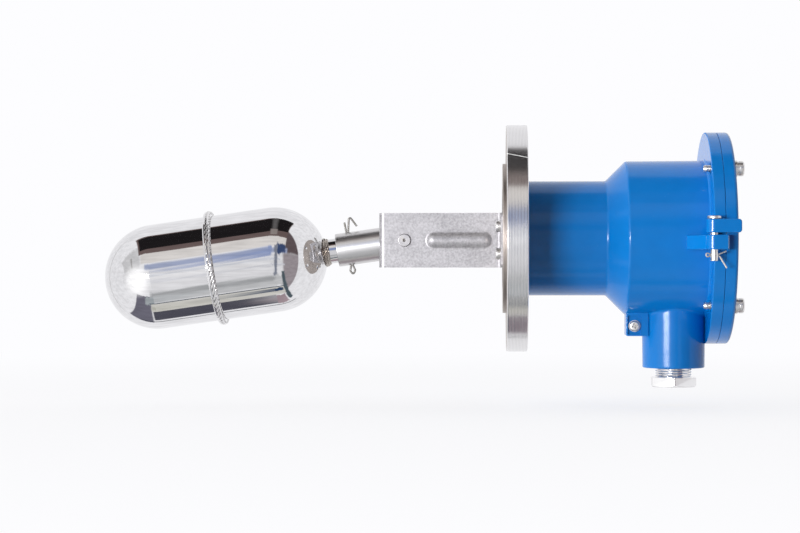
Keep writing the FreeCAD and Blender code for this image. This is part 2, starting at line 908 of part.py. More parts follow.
def rooted_hub(hub):
    """The hub on a length of barrel just inside the body, with the rounded root where they meet."""
    taper = (body_end_dia - body_dia) / 2 / (ring_back - cone_end)
    start = cone_end + 2 * shoulder_round
    end = hub_x + hub_dia / 2 + 2 * hub_root_round
    surface = body_dia / 2 - hub_root_sink
    start_radius = surface + taper * (start - cone_end)
    end_radius = surface + taper * (end - cone_end)
    barrel = turned_x([(start, 0), (start, start_radius), (end, end_radius), (end, 0)])

    def at_root(point):
        from_barrel = math.hypot(point.y, point.z) - surface
        on_barrel = 0 < from_barrel < end_radius - surface
        return on_barrel and math.hypot(point.x - hub_x, point.y) < hub_dia / 2 and point.z < 0

    return eased(joined([barrel, hub]), hub_root_round, at_root)


def casting_outside():
    """Neck, shoulder, body and ring with the hub, its rounded root and its web."""
    hub, web = hub_solid()
    return joined([housing_outside(), rooted_hub(hub), web])


def hub_bore():
    """Threaded mouth, seat of the sealing bush and the cable way into the chamber."""
    seat = -hub_drop + gland_thread_length - gland_thread_shown + body_gap
    seat += gland_washer_thickness + bush_length
    mouth = rod_z(gland_thread_dia + 2 * thread_gap, -hub_drop - overcut, seat, hub_x)
    return [mouth, rod_z(cable_way_dia, seat - overcut, -body_bore + hub_root + overcut, hub_x)]


def hinge_lug():
    """Hinge lug cast on the housing: sloping pad, knuckle and rounded end."""
    outer = hinge_y - knuckle_radius
    left = hinge_x - knuckle_radius
    wall = -body_dia / 2 + housing_wall / 2
    bottom = lug_top - lug_height
    pad = slab_z([
        (lug_pad_start, wall),
        (lug_pad_start, -body_dia / 2 - lug_pad_step, lug_corner),
        (left, -ring_dia / 2 - lug_pad_past_rim, lug_corner),
        (left, outer, knuckle_radius),
        (hinge_x + knuckle_radius, outer),
        (hinge_x + knuckle_radius, wall),
    ], bottom, lug_top)
    end = rod_z(2 * lug_end_radius, bottom, lug_top, hinge_x, hinge_y)
    inner = -(ring_dia - lug_ring_bite) / 2
    window = block(hinge_x, hinge_x + lug_end_radius, outer, inner, bottom, lug_top)
    lug = joined([pad, end.common(window)])
    return eased(lug, lug_edge, lambda point: at_level(bottom, point.z) or at_level(lug_top, point.z))


def earth_lug():
    """Block for the outer earth screw, with a cheek on each side of the recessed face."""
    lug = slab_y([
        (earth_lug_from + earth_chamfer_width, earth_lug_top),
        (earth_lug_from, earth_lug_top - earth_chamfer_height),
        (earth_lug_from, earth_lug_bottom, earth_lug_corner),
        (earth_lug_to, earth_lug_bottom),
        (earth_lug_to, earth_lug_top),
    ], earth_lug_front, earth_lug_front + earth_lug_depth)
    back = earth_lug_front + earth_lug_depth
    return eased(lug, earth_lug_edge, lambda p: at_level(earth_lug_front, p.y) or at_level(back, p.y))


def earth_screw_x():
    """Middle of the outer earth lug's recessed face."""
    return (earth_lug_from + hub_x - hub_dia / 2) / 2


def earth_recess_cut():
    """Recess between the cheeks of the earth lug, and its tapped hole."""
    floor = earth_lug_front + earth_recess
    middle = earth_screw_x()
    half = middle - earth_lug_from - earth_cheek
    low = earth_lug_bottom + earth_recess_sill
    high = earth_screw_z + half + earth_recess_head_room
    recess = slab_y([
        (middle - half, low, earth_recess_corner),
        (middle + half, low, earth_recess_corner),
        (middle + half, high, earth_recess_corner),
        (middle - half, high, earth_recess_corner),
    ], earth_lug_front - overcut, floor)
    hole_end = floor + earth_hole_depth
    hole = rod_y(earth_screw_dia + 2 * fit_gap, floor - overcut, hole_end, middle, earth_screw_z)
    return [recess, hole]


def gasket_groove(dia, section, face, depth_sign):
    """Square groove for a round gasket in a flat face across X."""
    half = section / 2 + groove_side_room
    low, high = sorted((face, face + depth_sign * (section + fit_gap)))
    return rod_x(dia + 2 * half, low, high).cut(rod_x(dia - 2 * half, low, high))


def housing():
    """The painted casting between the flange and the cover."""
    boss = rod_x(inner_earth_boss_dia, cone_start, inner_earth_boss_end, 0, inner_earth_z)
    casting = joined([casting_outside(), hinge_lug(), earth_lug()])
    casting = casting.cut(housing_cavity())
    inside = boss.common(housing_cavity().fuse(housing_outside()))
    casting = joined([casting, inside])
    cuts = hub_bore() + earth_recess_cut()
    ring_hole = cover_bolt_dia + 2 * ring_hole_room
    for y, z in circle_places(cover_bolt_circle, cover_bolt_count, 45):
        cuts.append(rod_x(ring_hole, ring_back - overcut, ring_front + overcut, y, z))
    for y, z in circle_places(housing_screw_circle, housing_screw_count, 45):
        start = flange_thickness - overcut
        cuts.append(rod_x(housing_screw_dia + 2 * body_gap, start, floor_top + overcut, y, z))
    for y, z in circle_places(post_circle, 2, 0):
        start = flange_thickness + post_stud_gap - overcut
        cuts.append(rod_x(small_screw_dia + 2 * fit_gap, start, floor_top + overcut, y, z))
    inner_hole = small_screw_dia + 2 * fit_gap
    start = inner_earth_boss_end - earth_hole_depth
    cuts.append(rod_x(inner_hole, start, inner_earth_boss_end + overcut, 0, inner_earth_z))
    lug_bottom = lug_top - lug_height
    pin_hole = hinge_pin_dia + 2 * fit_gap
    cuts.append(rod_z(pin_hole, lug_bottom - overcut, lug_top + overcut, hinge_x, hinge_y))
    cuts.append(gasket_groove(neck_gasket_dia, neck_gasket_section, flange_thickness, 1))
    cuts.append(gasket_groove(cover_gasket_dia, cover_gasket_section, ring_front, -1))
    return casting.cut(cuts)


def housing_fasteners():
    """Cap screws and washers that pull the housing on to the flange from inside."""
    hole = housing_screw_dia + 2 * body_gap
    washer = ring_washer(housing_washer_dia, hole, housing_washer_thickness)
    top = floor_top + housing_washer_thickness
    tip = flange_thickness - housing_screw_depth - top
    one = turned_x([
        (housing_head_height, housing_socket_dia / 2),
        (housing_head_height, housing_head_dia / 2, housing_head_edge),
        (0, housing_head_dia / 2),
        (0, housing_screw_dia / 2),
        (tip, housing_screw_dia / 2, housing_screw_dia * tip_round_share),
        (tip, 0),
        (housing_head_height - housing_socket_depth, 0),
        (housing_head_height - housing_socket_depth, housing_socket_dia / 2),
    ])
    places = circle_places(housing_screw_circle, housing_screw_count, 45)
    screws = [moved(one, top, y, z) for y, z in places]
    washers = [moved(washer, floor_top, y, z) for y, z in places]
    return Part.makeCompound(screws), Part.makeCompound(washers)


def round_gasket(dia, section, face, depth_sign):
    """Round-section gasket lying in its groove."""
    x = face + depth_sign * section / 2
    return Part.makeTorus(dia / 2, section / 2, Vector(x, 0, 0), X_AXIS)


def cover_disc():
    """Turned body of the cover: rim, spigot and the hollow behind it."""
    spigot = body_bore - spigot_room
    return turned_x([
        (cover_outer, 0),
        (cover_outer, ring_dia / 2, cover_edge),
        (cover_inner, ring_dia / 2, ring_edge / 2),
        (cover_inner, spigot),
        (cover_inner - spigot_length, spigot, spigot_edge),
        (cover_inner - spigot_length, spigot - spigot_wall, spigot_edge),
        (cover_outer - cover_wall, spigot - spigot_wall, cover_hollow_fillet),
        (cover_outer - cover_wall, 0),
    ])


def cover_hinge_arm():
    """Arm of the cover that reaches back over the rim to the hinge pin."""
    outer = hinge_y - knuckle_radius
    inner = hinge_y + knuckle_radius
    left = hinge_x - knuckle_radius
    plan = slab_z([
        (left, outer, knuckle_radius),
        (arm_end, outer),
        (arm_end, -ring_dia / 2 + arm_root),
        (cover_inner, -ring_dia / 2 + arm_root),
        (cover_inner, inner),
        (left, inner, knuckle_radius),
    ], arm_bottom, arm_top)
    side = slab_y([
        (left - overcut, arm_bottom),
        (arm_end, arm_bottom, arm_end_chamfer),
        (arm_end, arm_top, arm_end_chamfer),
        (left - overcut, arm_top),
    ], outer - overcut, 0)
    arm = plan.common(side)
    return eased(arm, arm_edge, lambda point: at_level(outer, point.y))


def cover():
    """Hinged cover with its arm and four bolt holes."""
    lid = joined([cover_disc(), cover_hinge_arm()])
    pin_hole = hinge_pin_dia + 2 * running_gap
    cuts = [rod_z(pin_hole, arm_bottom - overcut, arm_top + overcut, hinge_x, hinge_y)]
    bolt_hole = cover_bolt_dia + 2 * body_gap
    for y, z in circle_places(cover_bolt_circle, cover_bolt_count, 45):
        cuts.append(rod_x(bolt_hole, cover_inner - overcut, cover_outer + overcut, y, z))
    return lid.cut(cuts)


def cover_bolt_sets():
    """Bolt and washers at each place of the cover's bolt circle."""
    seat = cover_outer + body_gap
    head = seat + flat_washer_thickness + spring_washer_thickness
    length = head - ring_back + cover_bolt_tail
    bolt = turned_x([
        (-length, 0),
        (-length, cover_bolt_dia / 2, cover_bolt_tip),
        (0, cover_bolt_dia / 2),
        (0, bolt_head_dia / 2),
        (bolt_head_height, bolt_head_dia / 2, bolt_head_round),
        (bolt_head_height, 0),
    ])
    hole = cover_bolt_dia + 2 * body_gap
    flat = ring_washer(flat_washer_dia, hole, flat_washer_thickness)
    spring = split_washer(spring_washer_dia, hole, spring_washer_thickness)
    sets = {}
    for index, (y, z) in enumerate(circle_places(cover_bolt_circle, cover_bolt_count, 45)):
        washers = [moved(flat, seat, y, z), moved(spring, seat + flat_washer_thickness, y, z)]
        sets[f"cover_bolt_{index + 1}"] = moved(bolt, head, y, z)
        sets[f"cover_washers_{index + 1}"] = Part.makeCompound(washers)
    return sets


def hinge_pin():
    """Upright hinge pin with a flat head and a cross hole near its lower end."""
    top = arm_top + body_gap
    pin = turned_z([
        (0, hinge_pin_end),
        (hinge_pin_dia / 2, hinge_pin_end, hinge_pin_tip),
        (hinge_pin_dia / 2, top),
        (hinge_head_dia / 2, top, hinge_head_under_edge),
        (hinge_head_dia / 2, top + hinge_head_height, hinge_head_edge),
        (0, top + hinge_head_height),
    ], hinge_x, hinge_y)
    left = hinge_x - hinge_pin_dia
    right = hinge_x + hinge_pin_dia
    return pin.cut(rod_x(hinge_wire_hole_dia, left, right, hinge_y, hinge_wire_z))


def hinge_split_pin():
    """Split pin through the hinge pin, its eye on the left and its legs spread."""
    leg = hinge_wire_dia / 2 + fit_gap
    y = hinge_y
    z = hinge_wire_z
    left = hinge_x - hinge_pin_dia / 2
    right = hinge_x + hinge_pin_dia / 2
    path = [
        Vector(right + hinge_wire_upper_out, y, z + hinge_wire_upper_rise),
        Vector(right + hinge_wire_exit, y, z + leg),
        Vector(left - hinge_wire_seat, y, z + leg),
        Vector(left - hinge_eye_middle, y, z + leg + hinge_eye_spread),
        Vector(left - hinge_eye_length, y, z),
        Vector(left - hinge_eye_middle, y, z - leg - hinge_eye_spread),
        Vector(left - hinge_wire_seat, y, z - leg),
        Vector(right + hinge_wire_exit, y, z - leg),
        Vector(right + hinge_wire_lower_out, y, z - hinge_wire_lower_drop),
    ]
    bends = [0] + 2 * [hinge_wire_bend] + 3 * [hinge_eye_bend] + 2 * [hinge_wire_bend] + [0]
    return wire_pin(path, bends, hinge_wire_dia)


def gland_parts():
    """Gland nut, thrust washer and sealing bush under the cable hub."""
    top = -hub_drop + gland_thread_length - gland_thread_shown
    under = -hub_drop - gland_thread_shown
    bottom = under - gland_hex_height
    corner_radius = gland_hex_flats / 2 / math.cos(math.radians(30))
    hexagon = []
    for index in range(6):
        angle = math.radians(gland_hex_turn + 60 * index)
        hexagon.append((hub_x + corner_radius * math.cos(angle), corner_radius * math.sin(angle)))
    chamfer = (corner_radius - gland_hex_flats / 2) * math.tan(math.radians(hex_chamfer_angle))
    envelope = turned_z([
        (0, under),
        (gland_hex_flats / 2, under),
        (corner_radius, under - chamfer),
        (corner_radius, bottom + chamfer),
        (gland_hex_flats / 2, bottom),
        (0, bottom),
    ], hub_x, 0)
    nut = slab_z(hexagon, bottom, under).common(envelope)
    shank = turned_z([
        (0, under - overcut),
        (gland_thread_dia / 2, under - overcut),
        (gland_thread_dia / 2, top, gland_edge),
        (0, top),
    ], hub_x, 0)
    nut = joined([nut, shank]).cut(rod_z(gland_bore_dia, bottom - overcut, top + overcut, hub_x))
    washer_low = top + body_gap
    bush_low = washer_low + gland_washer_thickness
    way = gland_bore_dia + 2 * body_gap
    washer = rod_z(gland_thread_dia - 2 * body_gap, washer_low, bush_low, hub_x)
    bush = rod_z(gland_thread_dia - 2 * fit_gap, bush_low, bush_low + bush_length, hub_x)
    return {
        "gland_nut": nut,
        "gland_washer": washer.cut(rod_z(way, washer_low, bush_low, hub_x)),
        "gland_bush": bush.cut(rod_z(way, bush_low, bush_low + bush_length, hub_x)),
    }


def earth_fasteners():
    """Earth screws with their washers, outside on the lug and inside on the boss."""
    floor = earth_lug_front + earth_recess
    x = earth_screw_x()
    one = screw(earth_screw_dia, earth_screw_length, earth_head_dia, earth_head_height)
    washer = ring_washer(earth_washer_dia, earth_screw_dia + 2 * body_gap, earth_washer_thickness)
    inner = screw(small_screw_dia, earth_screw_length, terminal_head_dia, terminal_head_height)
    seat = inner_earth_boss_end
    clamp = block(0, clamp_thickness, -clamp_size / 2, clamp_size / 2, -clamp_size / 2, clamp_size / 2)
    clamp = clamp.cut(rod_x(small_screw_dia + 2 * body_gap, 0, clamp_thickness))
    return {
        "outer_earth_screw": moved(one, x, floor - earth_washer_thickness, earth_screw_z, Z_AXIS, 90),
        "outer_earth_washer": moved(washer, x, floor - earth_washer_thickness, earth_screw_z, Z_AXIS, 90),
        "inner_earth_screw": moved(inner, seat + clamp_thickness, 0, inner_earth_z, Z_AXIS, 180),
        "inner_earth_clamp": moved(clamp, seat, 0, inner_earth_z),
    }


def base_posts():
    """Two posts that carry the contact base off the housing's floor."""
    posts = []
    for y, z in circle_places(post_circle, 2, 0):
        post = turned_x([
            (flange_thickness + post_stud_gap, 0),
            (flange_thickness + post_stud_gap, small_screw_dia / 2),
            (floor_top, small_screw_dia / 2),
            (floor_top, post_dia / 2, post_edge),
            (base_back, post_dia / 2, post_edge),
            (base_back, small_screw_dia / 2 + fit_gap),
            (base_back - post_hole_depth, small_screw_dia / 2 + fit_gap),
            (base_back - post_hole_depth, 0),
        ])
        posts.append(moved(post, 0, y, z))
    return Part.makeCompound(posts)


def terminal_places():
    """(y, z) places of the four terminal screws."""
    return [(side * strip_place, up * terminal_place) for up in (1, -1) for side in (-1, 1)]


def cheek_screw_places():
    """(y, z) places of the four screws that hold the lever's cheeks."""
    y = lever_boss_length / 2 + body_gap + cheek_thickness + cheek_foot / 2
    return [(side * y, up * cheek_height / 4) for side in (-1, 1) for up in (-1, 1)]


def contact_base():
    """Moulded base disc with a window for the lever and barriers between terminals."""
    base = turned_x([
        (base_back, 0),
        (base_back, base_dia / 2, base_edge),
        (base_front, base_dia / 2, base_edge),
        (base_front, 0),
    ])
    half = barrier_thickness / 2
    start = base_window_height / 2 + barrier_gap
    barriers = []
    for low in (start, -start - barrier_length):
        top = base_front + barrier_height
        barriers.append(block(base_front - overcut, top, -half, half, low, low + barrier_length))
    base = joined([base] + barriers)
    half_width = base_window_width / 2
    half_height = base_window_height / 2
    window = slab_x([
        (-half_width, -half_height, window_corner),
        (half_width, -half_height, window_corner),
        (half_width, half_height, window_corner),
        (-half_width, half_height, window_corner),
    ], base_back - overcut, base_front + overcut)
    cuts = [window]
    low = base_back - overcut
    high = base_front + overcut
    for y, z in circle_places(post_circle, 2, 0):
        cuts.append(rod_x(small_screw_dia + 2 * body_gap, low, high, y, z))
    for y, z in terminal_places():
        cuts.append(rod_x(small_screw_dia + 2 * fit_gap, low, high, y, z))
    for y, z in cheek_screw_places():
        cuts.append(rod_x(cheek_screw_dia + 2 * fit_gap, low, base_back + cheek_screw_bite + overcut, y, z))
    return base.cut(cuts)


def pivot_cheeks():
    """Pair of angle plates behind the base that hold the contact lever's pin."""
    inner = lever_boss_length / 2 + body_gap
    outer = inner + cheek_thickness
    start = contact_pivot_x - cheek_reach
    half = cheek_height / 2
    plates = []
    for side in (-1, 1):
        angle = slab_z([
            (start, side * inner),
            (base_back, side * inner, cheek_thickness + cheek_bend),
            (base_back, side * (outer + cheek_foot)),
            (base_back - cheek_thickness, side * (outer + cheek_foot)),
            (base_back - cheek_thickness, side * outer, cheek_bend),
            (start, side * outer),
        ], -half, half)
        nose = slab_y([
            (start, -half, half - cheek_nose_flat),
            (base_back, -half),
            (base_back, half),
            (start, half, half - cheek_nose_flat),
        ], -outer - cheek_foot, outer + cheek_foot)
        plates.append(angle.common(nose))
    cuts = [rod_y(contact_pin_dia + 2 * fit_gap, -base_dia, base_dia, contact_pivot_x)]
    for y, z in cheek_screw_places():
        cuts.append(rod_x(cheek_screw_dia + 2 * body_gap, start, base_back + overcut, y, z))
    return Part.makeCompound([plate.cut(cuts) for plate in plates])


def contact_pin():
    """Pin of the contact lever with a flat head at each end."""
    outer = lever_boss_length / 2 + body_gap + cheek_thickness
    half = [
        (outer, contact_pin_dia / 2),
        (outer, contact_pin_head_dia / 2),
        (outer + contact_pin_head_height, contact_pin_head_dia / 2, contact_pin_head_edge),
        (outer + contact_pin_head_height, 0),
    ]
    other = [(-c[0],) + c[1:] for c in reversed(half)]
    return turned_y(half + other, contact_pivot_x, 0)


def lever_parts():
    """Contact lever, magnet and bridge, drawn level about the contact pivot."""
    half = contact_lever_thickness / 2
    side = contact_lever_width / 2
    can_back = dry_can_length - dry_magnet_reach
    lever_end = bridge_reach - bridge_width / 2
    boss = rod_y(lever_boss_dia, -lever_boss_length / 2, lever_boss_length / 2)
    bar = block(can_back, lever_end, -side, side, -half, half)
    hole = rod_y(contact_pin_dia + 2 * running_gap, -lever_boss_length, lever_boss_length)
    can, magnet, cap = magnet_set(-dry_magnet_reach, dry_can_length, -1)
    carrier = block(
        bridge_reach - carrier_length / 2, bridge_reach + carrier_length / 2,
        -carrier_width / 2, carrier_width / 2, -carrier_height / 2, carrier_height / 2,
    )
    bridge = block(
        bridge_reach - bridge_width / 2, bridge_reach + bridge_width / 2,
        -bridge_length / 2, bridge_length / 2, -bridge_thickness / 2, bridge_thickness / 2,
    )
    return {
        "contact_lever": joined([boss, bar]).cut(hole),
        "dry_magnet_can": can,
        "dry_magnet": magnet,
        "dry_magnet_cap": cap,
        "bridge_carrier": carrier.cut([bridge, bar]),
        "contact_bridge": bridge,
    }


def fixed_contacts(up):
    """Pair of bent contact strips with their buttons. Up is 1 above the bridge, -1 below."""
    tilt = math.radians(contact_tilt)
    touch_x = contact_pivot_x + bridge_reach * math.cos(tilt)
    touch_z = bridge_reach * math.sin(tilt) + bridge_thickness / 2 / math.cos(tilt) + body_gap
    tongue = touch_z + button_height + button_dia / 2 * math.sin(tilt)
    end = touch_x + strip_end_reach
    top = terminal_place + clamp_size / 2
    strips = []
    for y in (-strip_place, strip_place):
        strip = slab_y([
            (base_front, up * tongue, strip_thickness + strip_bend),
            (base_front, up * top),
            (base_front + strip_thickness, up * top),
            (base_front + strip_thickness, up * (tongue + strip_thickness), strip_bend),
            (end, up * (tongue + strip_thickness)),
            (end, up * tongue),
        ], y - strip_width / 2, y + strip_width / 2)
        low, high = sorted((up * (tongue - button_height), up * (tongue + strip_thickness / 2)))
        button = rod_z(button_dia, low, high, touch_x, y)
        hole_end = base_front + strip_thickness + overcut
        hole_dia = small_screw_dia + 2 * body_gap
        hole = rod_x(hole_dia, base_front - overcut, hole_end, y, up * terminal_place)
        strips.append(joined([strip, button]).cut(hole))
    return Part.makeCompound(strips)


def base_fasteners():
    """Screws and clamps on both sides of the contact base."""
    head = (terminal_head_dia, terminal_head_height)
    post_screw = screw(small_screw_dia, base_thickness + post_screw_bite, *head)
    terminal_length = strip_thickness + clamp_thickness + terminal_screw_bite
    terminal_screw = screw(small_screw_dia, terminal_length, *head)
    cheek_length = cheek_thickness + cheek_screw_bite
    cheek_screw = screw(cheek_screw_dia, cheek_length, cheek_head_dia, cheek_head_height)
    half = clamp_size / 2
    clamp = block(0, clamp_thickness, -half, half, -half, half)
    clamp = clamp.cut(rod_x(small_screw_dia + 2 * body_gap, 0, clamp_thickness))
    clamp_seat = base_front + strip_thickness
    head_seat = clamp_seat + clamp_thickness
    rear = base_back - cheek_thickness
    posts = circle_places(post_circle, 2, 0)
    base_screws = [moved(post_screw, base_front, y, z, Z_AXIS, 180) for y, z in posts]
    clamps = [moved(clamp, clamp_seat, y, z) for y, z in terminal_places()]
    terminals = [moved(terminal_screw, head_seat, y, z, Z_AXIS, 180) for y, z in terminal_places()]
    cheeks = [moved(cheek_screw, rear, y, z) for y, z in cheek_screw_places()]
    return {
        "base_screws": Part.makeCompound(base_screws),
        "terminal_clamps": Part.makeCompound(clamps),
        "terminal_screws": Part.makeCompound(terminals),
        "cheek_screws": Part.makeCompound(cheeks),
    }


def build_all():
    """Every sub-part of the switch by name, in its resting place."""
    parts = {"mounting_flange": mounting_flange()}
    for name, shape in float_parts().items():
        parts[name] = on_arm(shape)
    for name, shape in arm_parts().items():
        parts[name] = on_arm(shape)
    can, magnet, cap = magnet_set(wet_magnet_reach, can_length, 1)
    parts["magnet_can"] = on_arm(can)
    parts["wet_magnet"] = on_arm(magnet)
    parts["magnet_cap"] = on_arm(cap)
    parts["arm_bracket"] = arm_bracket()
    parts["bracket_screws"], parts["bracket_spring_washers"] = bracket_fasteners()
    parts["pivot_pin"] = pivot_pin()
    parts["pivot_spacers"] = pivot_spacers()
    parts["housing"] = housing()
    parts["housing_screws"], parts["housing_screw_washers"] = housing_fasteners()
    parts["neck_gasket"] = round_gasket(neck_gasket_dia, neck_gasket_section, flange_thickness, 1)
    parts["cover_gasket"] = round_gasket(cover_gasket_dia, cover_gasket_section, ring_front, -1)
    parts["base_posts"] = base_posts()
    parts["contact_base"] = contact_base()
    parts.update(base_fasteners())
    parts["pivot_cheeks"] = pivot_cheeks()
    parts["contact_pin"] = contact_pin()
    parts["upper_contacts"] = fixed_contacts(1)
    parts["lower_contacts"] = fixed_contacts(-1)
    for name, shape in lever_parts().items():
        parts[name] = on_lever(shape)
    parts.update(earth_fasteners())
    parts.update(gland_parts())
    parts["cover"] = cover()
    parts.update(cover_bolt_sets())
    parts["hinge_pin"] = hinge_pin()
    parts["hinge_split_pin"] = hinge_split_pin()
    return parts


os.makedirs("parts", exist_ok=True)
for part_name, part_shape in build_all().items():
    part_shape.exportStep(f"parts/{part_name}.step")
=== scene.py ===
"""Looks of the side-mounted magnetic float switch.

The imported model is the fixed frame. This script dresses its nodes with finishes, puts detailed
pieces in place of its plain welds, screws and nut, and sets up the studio and the camera.
Everything is in metres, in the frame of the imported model: +X runs from the float to the cover,
-Y faces the viewer and +Z is up.
"""
import json
import logging
import math
from dataclasses import dataclass, field, replace
from enum import Enum
from typing import Callable, ClassVar, Sequence

import bmesh
import bpy
import numpy as np
from mathutils import Matrix, Vector, noise


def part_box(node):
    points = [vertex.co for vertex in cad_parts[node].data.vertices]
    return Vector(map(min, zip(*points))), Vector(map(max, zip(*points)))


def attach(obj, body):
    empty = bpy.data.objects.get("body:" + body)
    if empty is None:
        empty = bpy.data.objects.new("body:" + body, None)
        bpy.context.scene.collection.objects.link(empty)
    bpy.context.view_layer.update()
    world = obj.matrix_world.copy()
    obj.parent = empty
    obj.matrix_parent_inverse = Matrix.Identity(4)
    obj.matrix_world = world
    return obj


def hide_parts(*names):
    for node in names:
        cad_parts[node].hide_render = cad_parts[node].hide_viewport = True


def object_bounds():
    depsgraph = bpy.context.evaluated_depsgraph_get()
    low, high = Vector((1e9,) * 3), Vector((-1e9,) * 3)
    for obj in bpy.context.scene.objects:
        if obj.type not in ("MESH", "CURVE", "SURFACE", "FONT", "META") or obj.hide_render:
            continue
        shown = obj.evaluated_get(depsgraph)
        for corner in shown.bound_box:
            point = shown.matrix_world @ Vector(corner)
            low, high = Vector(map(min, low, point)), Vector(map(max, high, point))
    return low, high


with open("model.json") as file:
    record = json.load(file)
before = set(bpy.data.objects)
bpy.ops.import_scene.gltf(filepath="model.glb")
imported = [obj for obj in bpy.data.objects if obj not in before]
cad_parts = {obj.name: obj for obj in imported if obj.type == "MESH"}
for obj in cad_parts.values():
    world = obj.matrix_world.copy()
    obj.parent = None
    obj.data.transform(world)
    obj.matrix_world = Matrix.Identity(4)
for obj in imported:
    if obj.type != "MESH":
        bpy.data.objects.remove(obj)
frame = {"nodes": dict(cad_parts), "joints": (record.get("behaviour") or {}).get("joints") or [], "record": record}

CAD_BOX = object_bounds()
LOG = logging.getLogger("float_switch")

MM = 0.001
FULL_TURN = 2.0 * math.pi
Colour = tuple[float, float, float]
Outline = list[tuple[float, float]]
X_AXIS = Vector((1.0, 0.0, 0.0))
Y_AXIS = Vector((0.0, 1.0, 0.0))
Z_AXIS = Vector((0.0, 0.0, 1.0))
ORIGIN = Vector((0.0, 0.0, 0.0))


class Signal:
    """A socket of a node tree. Operators on it add the Math nodes that work them out."""

    def __init__(self, tree: "NodeTree", socket: bpy.types.NodeSocket) -> None:
        """Wraps an output socket of a tree."""
        self.tree = tree
        self.socket = socket

    def math(self, operation: str, *others: "Signal | float") -> "Signal":
        """Adds a Math node with this signal as its first value."""
        return self.tree.math(operation, self, *others)

    def __add__(self, other: "Signal | float") -> "Signal":
        """Sum."""
        return self.math("ADD", other)

    def __radd__(self, other: float) -> "Signal":
        """Sum with a number in front."""
        return self.tree.math("ADD", other, self)

    def __sub__(self, other: "Signal | float") -> "Signal":
        """Difference."""
        return self.math("SUBTRACT", other)

    def __rsub__(self, other: float) -> "Signal":
        """Difference from a number."""
        return self.tree.math("SUBTRACT", other, self)

    def __mul__(self, other: "Signal | float") -> "Signal":
        """Product."""
        return self.math("MULTIPLY", other)

    def __rmul__(self, other: float) -> "Signal":
        """Product with a number in front."""
        return self.tree.math("MULTIPLY", other, self)

    def __truediv__(self, other: "Signal | float") -> "Signal":
        """Quotient."""
        return self.math("DIVIDE", other)

    def __neg__(self) -> "Signal":
        """Value with its sign turned."""
        return self.math("MULTIPLY", -1.0)

    def __pow__(self, other: float) -> "Signal":
        """Power."""
        return self.math("POWER", other)

    def least(self, other: "Signal | float") -> "Signal":
        """Smaller of two values."""
        return self.math("MINIMUM", other)

    def most(self, other: "Signal | float") -> "Signal":
        """Larger of two values."""
        return self.math("MAXIMUM", other)

    def sine(self) -> "Signal":
        """Sine of an angle in radians."""
        return self.math("SINE")

    def wave(self) -> "Signal":
        """Sine of an angle in radians, brought between 0 and 1."""
        return self.sine() * 0.5 + 0.5

    def size(self) -> "Signal":
        """Value without its sign."""
        return self.math("ABSOLUTE")

    def swing(self, amount: float) -> "Signal":
        """What a noise around 0.5 adds to a value, from minus to plus half the amount."""
        return (self - 0.5) * amount

    def rise(self, low: float, high: float) -> "Signal":
        """Smooth step.

        Args:
            low: The value at which the step is still 0.
            high: The value from which it is 1. Below low, it falls instead.

        Returns:
            The step, from 0 to 1.
        """
        settings = {"interpolation_type": "SMOOTHSTEP"}
        if low < high:
            return self.tree.signal("ShaderNodeMapRange", settings, {0: self, 1: low, 2: high})
        return 1.0 - self.rise(high, low)

    def band(self, low: float, high: float, blur: float) -> "Signal":
        """Band that is 1 between two values and 0 outside them, with edges of a width."""
        return self.rise(low - blur / 2, low + blur / 2) * self.rise(high + blur / 2, high - blur / 2)


Value = Signal | float | Sequence[float]


